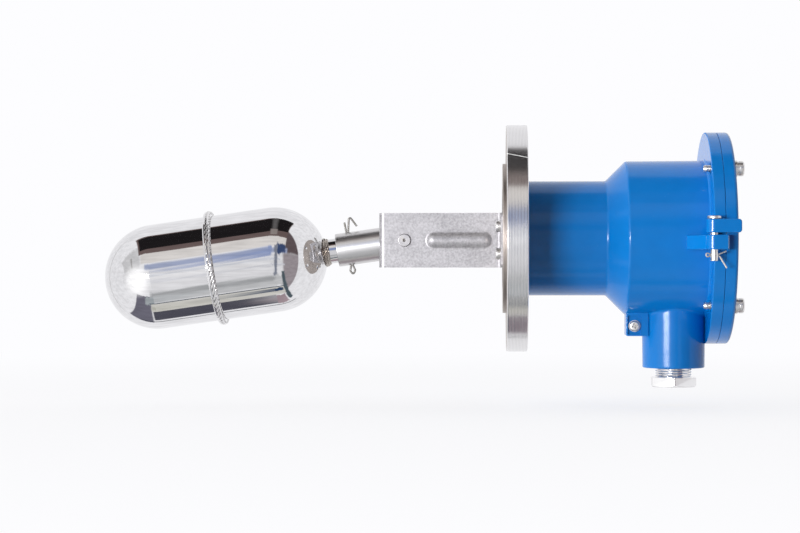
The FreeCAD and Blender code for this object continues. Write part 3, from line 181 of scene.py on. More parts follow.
class NodeTree:
    """A shader node tree with short ways to add nodes."""

    def __init__(self, owner: bpy.types.Material | bpy.types.World) -> None:
        """Takes over the tree of a material or world and empties it.

        Args:
            owner: The material or world.
        """
        owner.use_nodes = True
        self.nodes = owner.node_tree.nodes
        self.links = owner.node_tree.links
        self.nodes.clear()

    def node(self, kind: str, settings: dict | None = None, inputs: dict | None = None) -> bpy.types.Node:
        """Adds a node.

        Args:
            kind: The node's type.
            settings: Its properties, set first.
            inputs: Values or links of its input sockets, by name or number.

        Returns:
            The node.
        """
        made = self.nodes.new(kind)
        for key, setting in (settings or {}).items():
            setattr(made, key, setting)
        for key, given in (inputs or {}).items():
            if isinstance(given, Signal):
                self.links.new(given.socket, made.inputs[key])
            else:
                made.inputs[key].default_value = given
        return made

    def signal(
        self, kind: str, settings: dict | None = None, inputs: dict | None = None, output: int | str = 0
    ) -> Signal:
        """Adds a node and wraps one of its outputs, given by number or name."""
        return Signal(self, self.node(kind, settings, inputs).outputs[output])

    def math(self, operation: str, *values: Signal | float) -> Signal:
        """Adds a Math node with its values in order."""
        return self.signal("ShaderNodeMath", {"operation": operation}, dict(enumerate(values)))

    def vector(self, operation: str, *values: Value, output: int | str = 0) -> Signal:
        """Adds a Vector Math node with its values in order."""
        settings = {"operation": operation}
        return self.signal("ShaderNodeVectorMath", settings, dict(enumerate(values)), output)

    def along(self, place: Signal, direction: Vector) -> Signal:
        """How far a place lies along a direction."""
        return self.vector("DOT_PRODUCT", place, tuple(direction), output="Value")

    def length(self, place: Signal) -> Signal:
        """Length of a vector."""
        return self.vector("LENGTH", place, output="Value")

    def place(self) -> Signal:
        """Point on the object, in metres in its own frame."""
        return self.signal("ShaderNodeTexCoord", output="Object")

    def rays(self, kind: str) -> Signal:
        """1 where rays of a kind, named as an output of the Light Path node, are at work."""
        return self.signal("ShaderNodeLightPath", output=kind)

    def combined(self, x: Value, y: Value, z: Value) -> Signal:
        """Vector from three values."""
        return self.signal("ShaderNodeCombineXYZ", None, {0: x, 1: y, 2: z})

    def mixed(self, share: Signal | float, low: Signal | Colour, high: Signal | Colour) -> Signal:
        """Mixes two colours.

        Args:
            share: 0 for the first colour and 1 for the second.
            low: The first colour.
            high: The second colour.

        Returns:
            The mixed colour.
        """
        first, second = (c if isinstance(c, Signal) else (*c, 1.0) for c in (low, high))
        return self.signal("ShaderNodeMix", {"data_type": "RGBA"}, {0: share, 6: first, 7: second}, 2)

    def bump(self, height: Signal, depth: float, under: Signal | None = None) -> Signal:
        """Bump from a height.

        Args:
            height: The height, from 0 to 1.
            depth: The height of 1, in metres.
            under: The normal that the bump is added to.

        Returns:
            The bumped normal.
        """
        inputs = {"Height": height, "Distance": depth}
        if under is not None:
            inputs["Normal"] = under
        return self.signal("ShaderNodeBump", None, inputs)


@dataclass(frozen=True)
class Grain:
    """Soft noise around 0.5, by its swells in a metre, finer layers, their strength and its stretch."""

    per_metre: float
    layers: float = 2.0
    rough: float = 0.5
    stretch: Colour | None = None

    def over(self, tree: NodeTree, place: Signal | None = None) -> Signal:
        """Noise over a surface.

        Args:
            tree: The tree in which it is worked out.
            place: The point at which it is read, or None for the point on the object.

        Returns:
            The noise.
        """
        where = tree.place() if place is None else place
        if self.stretch:
            where = tree.vector("MULTIPLY", where, self.stretch)
        inputs = {"Vector": where, "Scale": self.per_metre, "Detail": self.layers, "Roughness": self.rough}
        return tree.signal("ShaderNodeTexNoise", None, inputs)


@dataclass(frozen=True)
class Line:
    """A line in space, such as the axis that a piece was turned about."""

    through: Vector
    along: Vector

    def coordinates(self, tree: NodeTree) -> tuple[Signal, Signal]:
        """Place along and away from the line.

        Args:
            tree: The tree in which they are worked out.

        Returns:
            The distance along the line and the distance from it, in metres.
        """
        offset = tree.vector("SUBTRACT", tree.place(), tuple(self.through))
        run = tree.along(offset, self.along)
        length = tree.length(offset)
        return run, (length * length - run * run).most(0.0).math("SQRT")


@dataclass(frozen=True)
class Finish:
    """A surface finish. Each kind of finish adds its detail in dress().

    dark and light are what its colour is multiplied by for its darkest and lightest shade, and
    depth is the height of its bumps.
    """

    made: ClassVar[dict[str, bpy.types.Material]] = {}

    name: str
    colour: Colour
    roughness: float
    metallic: float = 0.0
    specular: float = 0.5
    dark: float = 0.85
    light: float = 1.05
    depth: float = 0.02 * MM

    def material(self) -> bpy.types.Material:
        """Makes the material, or finds it if it was made before.

        Returns:
            The material.
        """
        if self.name in self.made:
            return self.made[self.name]
        made = self.made[self.name] = bpy.data.materials.new(self.name)
        tree = NodeTree(made)
        uniform = {
            "Base Color": (*self.colour, 1.0),
            "Roughness": self.roughness,
            "Metallic": self.metallic,
            "Specular IOR Level": self.specular,
        }
        shader = tree.node("ShaderNodeBsdfPrincipled", None, uniform)
        tree.node("ShaderNodeOutputMaterial", None, {"Surface": Signal(tree, shader.outputs[0])})
        for socket, signal in self.dress(tree).items():
            tree.links.new(signal.socket, shader.inputs[socket])
        return made

    def dress(self, tree: NodeTree) -> dict[str, Signal]:
        """What varies over the surface, by the shader's socket.

        Args:
            tree: The tree in which it is worked out.

        Returns:
            A signal for each socket that varies.
        """
        raise NotImplementedError

    def shades(self) -> tuple[Colour, Colour]:
        """Darkest and lightest shade of the finish's colour.

        Returns:
            The darkest and the lightest shade.
        """
        darkest = tuple(part * self.dark for part in self.colour)
        lightest = tuple(min(1.0, part * self.light) for part in self.colour)
        return darkest, lightest

    def surface(self, tree: NodeTree, tone: Signal, swing: Signal, height: Signal) -> dict[str, Signal]:
        """Signals of a surface that only has shades, an uneven gloss and bumps.

        Args:
            tree: The tree in which they are worked out.
            tone: 0 for the darkest shade and 1 for the lightest.
            swing: What is added to the roughness.
            height: The height of the bumps, from 0 to 1.

        Returns:
            A signal for each socket that varies.
        """
        return {
            "Base Color": tree.mixed(tone, *self.shades()),
            "Roughness": self.roughness + swing,
            "Normal": tree.bump(height, self.depth),
        }


@dataclass(frozen=True)
class MirrorSteel(Finish):
    """Polished deep-drawn steel, with hairlines, cloudy streaks and the swell that drawing leaves."""

    dark: float = 0.87
    light: float = 1.07
    depth: float = 0.01 * MM
    hairs: Grain = Grain(5200.0, stretch=(1.0, 0.2, 1.0))
    streaks: Grain = Grain(420.0, 3.0, 0.6, (0.06, 1.0, 1.0))
    cloud: Grain = Grain(60.0, 3.0)
    swell: Grain = Grain(45.0, 1.0)

    def dress(self, tree: NodeTree) -> dict[str, Signal]:
        """Hairline scratches, cloudy streaks and a slow swell. See Finish.dress."""
        scratches = self.hairs.over(tree).rise(0.62, 0.78)
        cloud = self.cloud.over(tree)
        tone = (cloud * 0.25 + self.streaks.over(tree) * 0.75).rise(0.3, 0.7)
        return self.surface(tree, tone, cloud * 0.02 + scratches * 0.05, self.swell.over(tree))


@dataclass(frozen=True)
class TurnedSteel(Finish):
    """Steel with the fine feed lines of a lathe round an axis."""

    dark: float = 0.9
    depth: float = 0.01 * MM
    axis: Line = field(default_factory=lambda: Line(ORIGIN, X_AXIS))
    pitch: float = 0.5 * MM
    stain: Grain = Grain(130.0)

    def dress(self, tree: NodeTree) -> dict[str, Signal]:
        """Feed lines along the axis and across the faces. See Finish.dress."""
        lanes = tree.combined(*self.axis.coordinates(tree), 0.0)
        lines = Grain(1.0 / self.pitch, rough=0.6).over(tree, lanes)
        stain = self.stain.over(tree)
        return self.surface(tree, lines * 0.5 + stain * 0.5, lines.swing(0.16) + stain.swing(0.06), lines)


@dataclass(frozen=True)
class FlangeSteel(TurnedSteel):
    """Machined flange: even feed marks on the rim, finer rings on its faces, a scratch painted as a glint."""

    dark: float = 0.8
    light: float = 1.1
    stain: Grain = Grain(60.0, 4.0)
    drift: Grain = Grain(30.0)
    ring_pitch: float = 0.6
    fine_pitch: float = 0.25
    rim_radius: float = 92.5 * MM
    rim_blend: tuple[float, float] = (1.2 * MM, 0.4 * MM)
    face_shade: Colour = (0.56, 0.51, 0.47)
    face_roughness: float = 0.4
    # The scratch is painted as a bright glint: a white, non-metallic line on the rim.
    scratch_glint_angle: float = 46.2
    scratch_glint_slant: float = 0.29
    scratch_glint_width: float = 0.35 * MM
    scratch_glint_colour: Colour = (0.95, 0.95, 0.95)

    def dress(self, tree: NodeTree) -> dict[str, Signal]:
        """Feed marks, rings, stains and a scratch painted as a bright glint on the rim. See Finish.dress."""
        run, radius = self.axis.coordinates(tree)
        feed = (run * (FULL_TURN / self.pitch) + self.drift.over(tree) * 2.0).wave()
        rings = (radius * (FULL_TURN / (self.ring_pitch * self.pitch))).wave()
        fine = Grain(1.0 / (self.fine_pitch * self.pitch)).over(tree, tree.combined(run, radius, 0.0))
        stain = self.stain.over(tree)
        on_rim = radius.rise(*(self.rim_radius - inside for inside in self.rim_blend))
        on_face = 1.0 - on_rim
        height = feed * on_rim + (rings * 0.12 + fine * 0.05) * on_face + fine * on_rim * 0.3
        # Painted highlight: the scratch is a white, non-metallic glint line that stays bright under any light.
        scratch_glint = self.scratch_glint(tree) * on_rim
        tone = stain * 0.6 + fine * 0.4
        rim = tree.mixed(tone * 0.5 + feed * 0.5, *self.shades())
        face_shades = (tuple(c * s for c, s in zip(shade, self.face_shade)) for shade in self.shades())
        base = tree.mixed(on_rim, tree.mixed(tone, *face_shades), rim)
        roughness = self.roughness + on_face * (self.face_roughness - self.roughness)
        return {
            "Base Color": tree.mixed(scratch_glint, base, self.scratch_glint_colour),
            "Metallic": 1.0 - scratch_glint,
            "Roughness": roughness + fine.swing(0.12) + stain.swing(0.08),
            "Normal": tree.bump(height, self.depth),
        }

    def scratch_glint(self, tree: NodeTree) -> Signal:
        """Narrow slanting band round the rim's upper front, where the scratch's glint is painted.

        Args:
            tree: The tree in which it is worked out.

        Returns:
            The band, from 0 to 1.
        """
        angle = math.radians(self.scratch_glint_angle)
        across = Vector((self.scratch_glint_slant, math.sin(angle), math.cos(angle))).normalized()
        width = self.scratch_glint_width
        return tree.along(tree.place(), across).band(-width, width, width)


@dataclass(frozen=True)
class Lay:
    """Slanting strands of a weld bead round an axis, like the lay of a rope."""

    turns: int = 62
    strands: float = 2.6
    half_width: float = 2.9 * MM

    def phase(self, angle: Value, across: Value, sine: Callable[[Value], Value]) -> Value:
        """Phase of the strands, for numbers and for shader signals alike.

        Args:
            angle: The angle round the axis, in radians.
            across: The place across the bead, from -1 to 1.
            sine: What takes the sine of a value of that kind.

        Returns:
            The phase, in radians.
        """
        uneven = sine(angle * 3.0) * 0.9 + sine(angle * 11.0 + 1.0) * 0.6
        return angle * float(self.turns) + across * (math.pi * self.strands) + uneven


@dataclass(frozen=True)
class RopeBeadSteel(Finish):
    """Weld bead of a seam, with painted shade in the grooves between its strands."""

    # The darkest shade is the painted shade in the grooves between the strands.
    dark: float = 0.3
    light: float = 1.1
    lay: Lay = Lay()
    place: Matrix = field(default_factory=Matrix)
    patch: Grain = Grain(190.0, 3.0)
    strand_edge: tuple[float, float] = (-0.4, -0.2)

    def dress(self, tree: NodeTree) -> dict[str, Signal]:
        """Painted shade in the grooves, small dents and dull patches. See Finish.dress."""
        offset = tree.vector("SUBTRACT", tree.place(), tuple(self.place.translation))
        side, up, run = (tree.along(offset, axis) for axis in self.place.to_3x3().transposed())
        across = run / self.lay.half_width
        groove = (-self.lay.phase(up.math("ARCTAN2", side), across, Signal.sine).sine()).rise(-0.1, 0.9)
        patch = self.patch.over(tree)
        # Painted shade: the grooves between the strands are darkened in the colour, and their roughness rises.
        painted_groove_shade = groove * across.rise(*self.strand_edge) * (0.55 + patch * 0.7)
        return self.surface(tree, 1.0 - painted_groove_shade.least(1.0), painted_groove_shade * 0.2 + patch.swing(0.1), patch)


@dataclass(frozen=True)
class BlastedSheet(Finish):
    """Pickled and bead-blasted sheet: even, sparkling grain with soft clouds."""

    dark: float = 0.66
    light: float = 1.24
    depth: float = 0.05 * MM
    grain: Grain = Grain(560.0, 3.0, 0.7)
    speck: Grain = Grain(2600.0, 2.0, 0.6)
    cloud: Grain = Grain(70.0, 3.0)

    def dress(self, tree: NodeTree) -> dict[str, Signal]:
        """Grain of two sizes and soft clouds. See Finish.dress."""
        grain, speck, cloud = (each.over(tree) for each in (self.grain, self.speck, self.cloud))
        tone = (grain * 0.55 + speck * 0.25 + cloud * 0.2).rise(0.3, 0.7)
        height = grain * 0.7 + speck * 0.3
        return self.surface(tree, tone, grain.swing(0.25) + cloud.swing(0.1), height)


@dataclass(frozen=True)
class Enamel(Finish):
    """Blue stoved paint over a casting: orange peel, casting unevenness and thin spots."""

    dark: float = 0.93
    light: float = 1.06
    depth: float = 0.012 * MM
    peel: Grain = Grain(620.0, 2.0, 0.45)
    tone: Grain = Grain(95.0, 4.0)
    swell: Grain = Grain(42.0)
    swell_depth: float = 0.12 * MM
    spots_per_metre: float = 210.0
    spot_edge: tuple[float, float] = (0.07, 0.02)
    spot_colour: Colour = (0.12, 0.32, 0.7)

    def dress(self, tree: NodeTree) -> dict[str, Signal]:
        """Orange peel, a slow swell of the casting and small thin spots. See Finish.dress."""
        peel, tone, swell = (each.over(tree) for each in (self.peel, self.tone, self.swell))
        cells = {"Vector": tree.place(), "Scale": self.spots_per_metre}
        spots = tree.signal("ShaderNodeTexVoronoi", None, cells).rise(*self.spot_edge)
        casting = tree.bump(swell, self.swell_depth)
        return {
            "Base Color": tree.mixed(spots * 0.35, tree.mixed(tone, *self.shades()), self.spot_colour),
            "Roughness": self.roughness + peel.swing(0.10) + tone.swing(0.08),
            "Normal": tree.bump(peel + spots * 0.6, self.depth, casting),
        }


@dataclass(frozen=True)
class Moulding(Finish):
    """Moulded plastic or rubber: fine pores and flow marks."""

    dark: float = 0.8
    light: float = 1.25
    pores: Grain = Grain(1500.0, 3.0, 0.6)
    flow: Grain = Grain(150.0, 3.0, stretch=(1.0, 0.35, 0.35))

    def dress(self, tree: NodeTree) -> dict[str, Signal]:
        """Pores and flow marks. See Finish.dress."""
        pores = self.pores.over(tree)
        return self.surface(tree, self.flow.over(tree), pores.swing(0.2), pores)


@dataclass(frozen=True)
class Plating(Finish):
    """Plated or bare metal of small parts: tumbling dents and dull, tinted patches."""

    depth: float = 0.015 * MM
    tint: Colour = (0.9, 0.85, 0.7)
    dents: Grain = Grain(850.0)
    patch: Grain = Grain(190.0, 3.0)

    def dress(self, tree: NodeTree) -> dict[str, Signal]:
        """Dents, dull patches and a faint tint in them. See Finish.dress."""
        dents, patch = self.dents.over(tree), self.patch.over(tree)
        tinted = tuple(part * hue for part, hue in zip(self.colour, self.tint))
        plain = self.surface(tree, dents, patch.swing(0.2) + dents.swing(0.1), dents)
        return plain | {"Base Color": tree.mixed(patch.rise(0.5, 0.75) * 0.5, plain["Base Color"], tinted)}


def joint_place(name: str) -> Vector:
    """Point on the axis of a joint."""
    return next(Vector(joint["pos_m"]) for joint in frame["joints"] if joint["name"] == name)


def middle(node: str) -> Vector:
    """Middle of a node's box."""
    low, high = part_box(node)
    return (low + high) / 2


class Form:
    """Points and faces of a piece under construction, in metres."""

    def __init__(self, points: np.ndarray, faces: list[tuple[int, ...]]) -> None:
        """Takes a row for each point, and the numbers of each face's points."""
        self.points = points
        self.faces = faces

    def moved(self, matrix: Matrix) -> "Form":
        """A copy moved by a matrix."""
        turn = np.array(matrix.to_3x3())
        return Form(self.points @ turn.T + np.array(matrix.translation), self.faces)

    def with_form(self, other: "Form") -> "Form":
        """This form and another one side by side.

        Args:
            other: The other form.

        Returns:
            Both as one form.
        """
        shift = len(self.points)
        more = [tuple(index + shift for index in face) for face in other.faces]
        return Form(np.vstack((self.points, other.points)), self.faces + more)

    def mesh(self, name: str) -> bpy.types.Mesh:
        """Mesh of the form with its faces turned outwards.

        Args:
            name: The mesh's name.

        Returns:
            The mesh.
        """
        made = bpy.data.meshes.new(name)
        made.from_pydata(self.points.tolist(), [], self.faces)
        work = bmesh.new()
        work.from_mesh(made)
        bmesh.ops.recalc_face_normals(work, faces=work.faces)
        work.to_mesh(made)
        work.free()
        return made

    def combined(self, operation: str, *others: "Form") -> "Form":
        """Exact boolean with other forms.

        Args:
            operation: DIFFERENCE, UNION or INTERSECT.
            others: The other forms, taken one after another.

        Returns:
            The result.
        """
        helpers = [bpy.data.objects.new("helper", form.mesh("helper")) for form in (self, *others)]
        for helper in helpers:
            bpy.context.collection.objects.link(helper)
        for helper in helpers[1:]:
            boolean = helpers[0].modifiers.new("with", "BOOLEAN")
            boolean.operation = operation
            boolean.solver = "EXACT"
            boolean.object = helper
        depsgraph = bpy.context.evaluated_depsgraph_get()
        result = bpy.data.meshes.new_from_object(helpers[0].evaluated_get(depsgraph))
        points = np.array([vertex.co[:] for vertex in result.vertices])
        faces = [tuple(face.vertices) for face in result.polygons]
        for helper in helpers:
            bpy.data.objects.remove(helper)
        return Form(points, faces)

    def piece(self, name: str, finish: Finish, body: str, smooth_to: float) -> bpy.types.Object:
        """Makes the piece and lets it ride on its body.

        Args:
            name: The piece's name.
            finish: Its finish.
            body: The body that it moves with.
            smooth_to: Edges with a sharper turn than this, in degrees, stay sharp.

        Returns:
            The piece.
        """
        mesh = self.mesh(name)
        mesh.shade_smooth()
        mesh.set_sharp_from_angle(angle=math.radians(smooth_to))
        mesh.materials.append(finish.material())
        made = bpy.data.objects.new(name, mesh)
        bpy.context.collection.objects.link(made)
        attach(made, body)
        LOG.info("%s built with %d faces for %s", name, len(mesh.polygons), body)
        return made


def rounded(corners: Sequence[tuple[float, ...]], steps: int) -> Outline:
    """Outline with round corners.

    Args:
        corners: Place along the axis, radius, and the corner's own radius where it is round.
        steps: How many runs each round corner is made of.

    Returns:
        The outline's points.
    """
    outline = []
    for index, corner in enumerate(corners):
        here = Vector(corner[:2])
        if len(corner) < 3:
            outline.append((here.x, here.y))
            continue
        back = (Vector(corners[index - 1][:2]) - here).normalized()
        ahead = (Vector(corners[index + 1][:2]) - here).normalized()
        half = back.angle(ahead) / 2
        centre = here + (back + ahead).normalized() * (corner[2] / math.sin(half))
        start = here + back * (corner[2] / math.tan(half)) - centre
        end = here + ahead * (corner[2] / math.tan(half)) - centre
        first = math.atan2(start.y, start.x)
        turn = math.remainder(math.atan2(end.y, end.x) - first, FULL_TURN)
        for angle in (first + turn * step / steps for step in range(steps + 1)):
            x, y = centre.x + corner[2] * math.cos(angle), centre.y + corner[2] * math.sin(angle)
            outline.append((x, y))
    return outline


Relief = Callable[[float, float, float], float]


def turned(rows: Outline, around: int, relief: Relief, ring: bool = False) -> Form:
    """Form turned about Z.

    Args:
        rows: Height and radius of each row. A radius of 0 is a point on the axis.
        around: How many points there are in a row.
        relief: What is added to the radius, from height, radius and angle.
        ring: True where the last row joins the first, as on a ring.

    Returns:
        The form.
    """
    points: list[tuple[float, float, float]] = []
    starts: list[tuple[int, bool]] = []
    for height, radius in rows:
        single = radius <= 0.0
        starts.append((len(points), single))
        for step in range(1 if single else around):
            angle = FULL_TURN * step / around
            out = radius + (0.0 if single else relief(height, radius, angle))
            points.append((out * math.cos(angle), out * math.sin(angle), height))
    faces = []
    last = len(rows) if ring else len(rows) - 1
    for row in range(last):
        (low, low_single), (high, high_single) = starts[row], starts[(row + 1) % len(rows)]
        for step in range(around):
            after = (step + 1) % around
            lower = (low,) if low_single else (low + step, low + after)
            upper = (high,) if high_single else (high + after, high + step)
            faces.append(lower + upper)
    return Form(np.array(points), faces)


def prism(outline: Outline, low: float, high: float, taper: float = 1.0) -> Form:
    """Upright prism.

    Args:
        outline: The points of its outline at the top.
        low: The height of its bottom.
        high: The height of its top.
        taper: The size of the bottom as a share of the top.

    Returns:
        The form.
    """
    count = len(outline)
    bottom = [(x * taper, y * taper, low) for x, y in outline]
    top = [(x, y, high) for x, y in outline]
    sides = [(step, (step + 1) % count, (step + 1) % count + count, step + count) for step in range(count)]
    ends = [tuple(range(count))[::-1], tuple(range(count, 2 * count))]
    return Form(np.array(bottom + top), sides + ends)


def polygon(count: int, flats: float, turn: float = 0.0) -> Outline:
    """Corners of a regular polygon.

    Args:
        count: How many corners it has.
        flats: The distance from its middle to a side.
        turn: How far it is turned, in degrees.

    Returns:
        The corners.
    """
    reach = flats / math.cos(math.pi / count)
    angles = [FULL_TURN * step / count + math.radians(turn) for step in range(count)]
    return [(reach * math.cos(angle), reach * math.sin(angle)) for angle in angles]


def oblong(reach: float, half_width: float) -> Outline:
    """Outline of a slot that lies along X."""
    return [(-reach, -half_width), (reach, -half_width), (reach, half_width), (-reach, half_width)]


def cross(reach: float, half_width: float) -> Outline:
    """Outline of a cross with four equal arms.

    Args:
        reach: How far each arm reaches.
        half_width: Half the width of an arm.

    Returns:
        The outline's points.
    """
    points = []
    for quarter in range(4):
        turn = Matrix.Rotation(quarter * math.pi / 2, 2)
        for x, y in ((reach, -half_width), (reach, half_width), (half_width, half_width)):
            corner = turn @ Vector((x, y))
            points.append((corner.x, corner.y))
    return points


def frame_along(place: Vector, axis: Vector, spin: float = 0.0) -> Matrix:
    """Matrix that spins by an angle in degrees, turns +Z to an axis and moves the origin to a place."""
    turn = axis.to_track_quat("Z", "Y").to_matrix().to_4x4()
    return Matrix.Translation(place) @ turn @ Matrix.Rotation(math.radians(spin), 4, "Z")


def solids_of(node: str) -> list[tuple[Vector, Vector]]:
    """Boxes of the separate solids of a node.

    Args:
        node: The node's name.

    Returns:
        The lowest and highest corner of each solid.
    """
    work = bmesh.new()
    work.from_mesh(frame["nodes"][node].data)
    bmesh.ops.remove_doubles(work, verts=work.verts, dist=0.001 * MM)
    left = set(work.verts)
    boxes = []
    while left:
        group = [left.pop()]
        for vertex in group:
            for edge in vertex.link_edges:
                other = edge.other_vert(vertex)
                if other in left:
                    left.remove(other)
                    group.append(other)
        places = np.array([vertex.co[:] for vertex in group])
        boxes.append((Vector(places.min(0)), Vector(places.max(0))))
    work.free()
    return sorted(boxes, key=lambda box: tuple(round(part, 5) for part in box[0]))


@dataclass(frozen=True)
class Thread:
    """Screw thread between two heights, cut into a bar of the outer radius."""

    run_out: ClassVar[float] = 0.7
    groove: ClassVar[tuple[float, float]] = (1.15, 1.3)
    touch: ClassVar[float] = 1e-9

    low: float
    high: float
    pitch: float
    depth: float
    rows_per_turn: int = 8

    def rows(self, radius: float) -> Outline:
        """Height and radius of each row of the bar along the thread, from low to high."""
        count = max(2, round((self.high - self.low) / self.pitch * self.rows_per_turn))
        return [(self.low + (self.high - self.low) * step / count, radius) for step in range(count + 1)]

    def relief(self, height: float, radius: float, angle: float) -> float:
        """Depth of the groove at a point of the bar, as a relief for turned().

        Args:
            height: The point's height.
            radius: The bar's radius there. Not used.
            angle: The point's angle, in radians.

        Returns:
            What is added to the radius.
        """
        if not self.low - self.touch <= height <= self.high + self.touch:
            return 0.0
        from_end = min(height - self.low, self.high - height) / (self.run_out * self.pitch)
        phase = (height / self.pitch - angle / FULL_TURN) % 1.0
        flank = abs(2.0 * phase - 1.0)
        floor, slant = self.groove
        return -self.depth * min(1.0, from_end) * min(1.0, max(0.0, floor - slant * flank))


class Drive(Enum):
    """Recess in a screw's head, as shares of the head.

    The values are how far it reaches, half the width of an arm, the height of its floor and
    the size of the floor against the mouth.
    """

    CROSS = (0.56, 0.125, 0.12, 0.42)
    SLOT = (1.2, 0.13, 0.45, 1.0)
    HEXAGON = (0.48, 0.48, 0.4, 1.0)


@dataclass(frozen=True)
class Screw:
    """Screw that stands along Z with its head up and its head's seat at 0.

    shank and head are radii, and crown is the round of the head's top as a share of its height.
    """

    mouth_margin: ClassVar[float] = 0.2 * MM
    tip: ClassVar[float] = 0.75
    plain_tip: ClassVar[float] = 0.6
    plain_neck: ClassVar[float] = 0.4 * MM
    thread_depth: ClassVar[float] = 0.6
    seat_round: ClassVar[float] = 0.05
    round_steps: ClassVar[int] = 6
    around: ClassVar[int] = 40

    shank: float
    head: float
    head_height: float
    length: float
    pitch: float
    drive: Drive = Drive.CROSS
    crown: float = 0.55

    def recess(self) -> Form:
        """Recess of the head.

        Returns:
            The form that is cut out of the head.
        """
        reach, half_width, floor, taper = self.drive.value
        outlines = {
            Drive.CROSS: cross(self.head * reach, self.head * half_width),
            Drive.SLOT: oblong(self.head * reach, self.head * half_width),
            Drive.HEXAGON: polygon(6, self.head * reach),
        }
        mouth = self.head_height + self.mouth_margin
        return prism(outlines[self.drive], self.head_height * floor, mouth, taper)

    def form(self) -> Form:
        """Whole screw with its thread and recess.

        Returns:
            The screw.
        """
        low = -self.length + self.plain_tip * self.shank
        thread = Thread(low, -self.plain_neck, self.pitch, self.thread_depth * self.pitch)
        end = [(-self.length, 0.0), (-self.length, self.tip * self.shank)]
        head = [
            (0.0, self.shank),
            (0.0, self.head, self.seat_round * self.head),
            (self.head_height, self.head, self.head_height * self.crown),
            (self.head_height, 0.0),
        ]
        rows = end + thread.rows(self.shank) + [(0.0, self.shank)] + rounded(head, self.round_steps)[1:]
        return turned(rows, self.around, thread.relief).combined("DIFFERENCE", self.recess())


def head_axis(node: str) -> Vector:
    """Where the head of a node's first screw points, found from where its points lie furthest out.

    Args:
        node: The node's name.

    Returns:
        The direction, along a main axis.
    """
    low, high = solids_of(node)[0]
    size = high - low
    along = max(range(3), key=lambda axis: size[axis])
    across = (along + 1) % 3
    centre = (low + high) / 2
    axis = Vector((0.0, 0.0, 0.0))
    points = [vertex.co for vertex in frame["nodes"][node].data.vertices]
    inside = [p for p in points if all(low[i] - 1e-6 <= p[i] <= high[i] + 1e-6 for i in range(3))]
    widest = max(inside, key=lambda p: abs(p[across] - centre[across]))
    axis[along] = math.copysign(1.0, widest[along] - centre[along])
    return axis


ARM_PIVOT = joint_place("float_swing")
ARM_AXIS = Line(ARM_PIVOT, (ARM_PIVOT - middle("float_seam_weld")).normalized())
GLAND_AXIS = Line(middle("gland_nut"), Z_AXIS)
SEAM_PLACE = frame_along(middle("float_seam_weld"), ARM_AXIS.along)
LAY = Lay()

POLISHED = MirrorSteel("mirror_steel", (0.81, 0.805, 0.815), 0.035, 1.0)
POLISHED_ROD = MirrorSteel("polished_rod_steel", (0.78, 0.775, 0.78), 0.05, 1.0)
WELD = Plating("weld_steel", (0.44, 0.4, 0.365), 0.27, 1.0, depth=0.03 * MM, tint=(0.8, 0.7, 0.6))
BEAD = RopeBeadSteel("seam_bead_steel", (0.7, 0.69, 0.69), 0.2, 1.0, lay=LAY, place=SEAM_PLACE)
SLEEVE = TurnedSteel(
    "sleeve_steel", (0.7, 0.69, 0.69), 0.31, 1.0, axis=ARM_AXIS, pitch=0.9 * MM, depth=0.003 * MM
)
TURNED = TurnedSteel("lathe_turned_steel", (0.68, 0.67, 0.665), 0.25, 1.0)
NICKEL = TurnedSteel("plated_nut", (0.87, 0.865, 0.87), 0.16, 1.0, axis=GLAND_AXIS)
FLANGE = FlangeSteel("machined_steel", (0.8, 0.79, 0.795), 0.19, 1.0, pitch=1.15 * MM, depth=0.035 * MM)
BLASTED = BlastedSheet("bead_blasted_steel", (0.42, 0.41, 0.43), 0.42, 0.5)
RIVET = Plating("rivet_steel", (0.42, 0.41, 0.42), 0.36, 1.0, depth=0.006 * MM)
FASTENER = Plating("screw_steel", (0.78, 0.77, 0.765), 0.32, 1.0, depth=0.006 * MM)
DARK_FASTENER = Plating("blackened_steel", (0.06, 0.06, 0.065), 0.4, 0.8, tint=(1.4, 1.2, 1.0))
WIRE = Plating("split_pin_wire", (0.62, 0.61, 0.6), 0.34, 1.0, depth=0.002 * MM)
ARM_WIRE = Plating("arm_pin_wire", (0.24, 0.23, 0.22), 0.42, 0.8, depth=0.002 * MM)
BRASS = Plating("rolled_brass", (0.72, 0.5, 0.2), 0.26, 1.0, tint=(0.7, 0.6, 0.5))
PAINT = Enamel("blue_enamel", (0.0005, 0.17, 0.54), 0.18, specular=0.36)
RUBBER = Moulding("seal_rubber", (0.012, 0.012, 0.013), 0.65)
BASE = Moulding("brown_moulding", (0.028, 0.02, 0.016), 0.35)
FERRITE = Moulding("magnet_ferrite", (0.03, 0.03, 0.033), 0.5)
NYLON = Moulding("spacer_nylon", (0.74, 0.73, 0.69), 0.45)

BODIES = {node: body for body, nodes in frame["record"]["behaviour"]["bodies"].items() for node in nodes}


def dress_node(node: str, finish: Finish) -> None:
    """Gives a node of the frame its finish.

    Args:
        node: The node's name.
        finish: The finish.
    """
    materials = frame["nodes"][node].data.materials
    for index in range(len(materials)):
        materials[index] = finish.material()
    LOG.info("%s dressed in %s", node, finish.name)


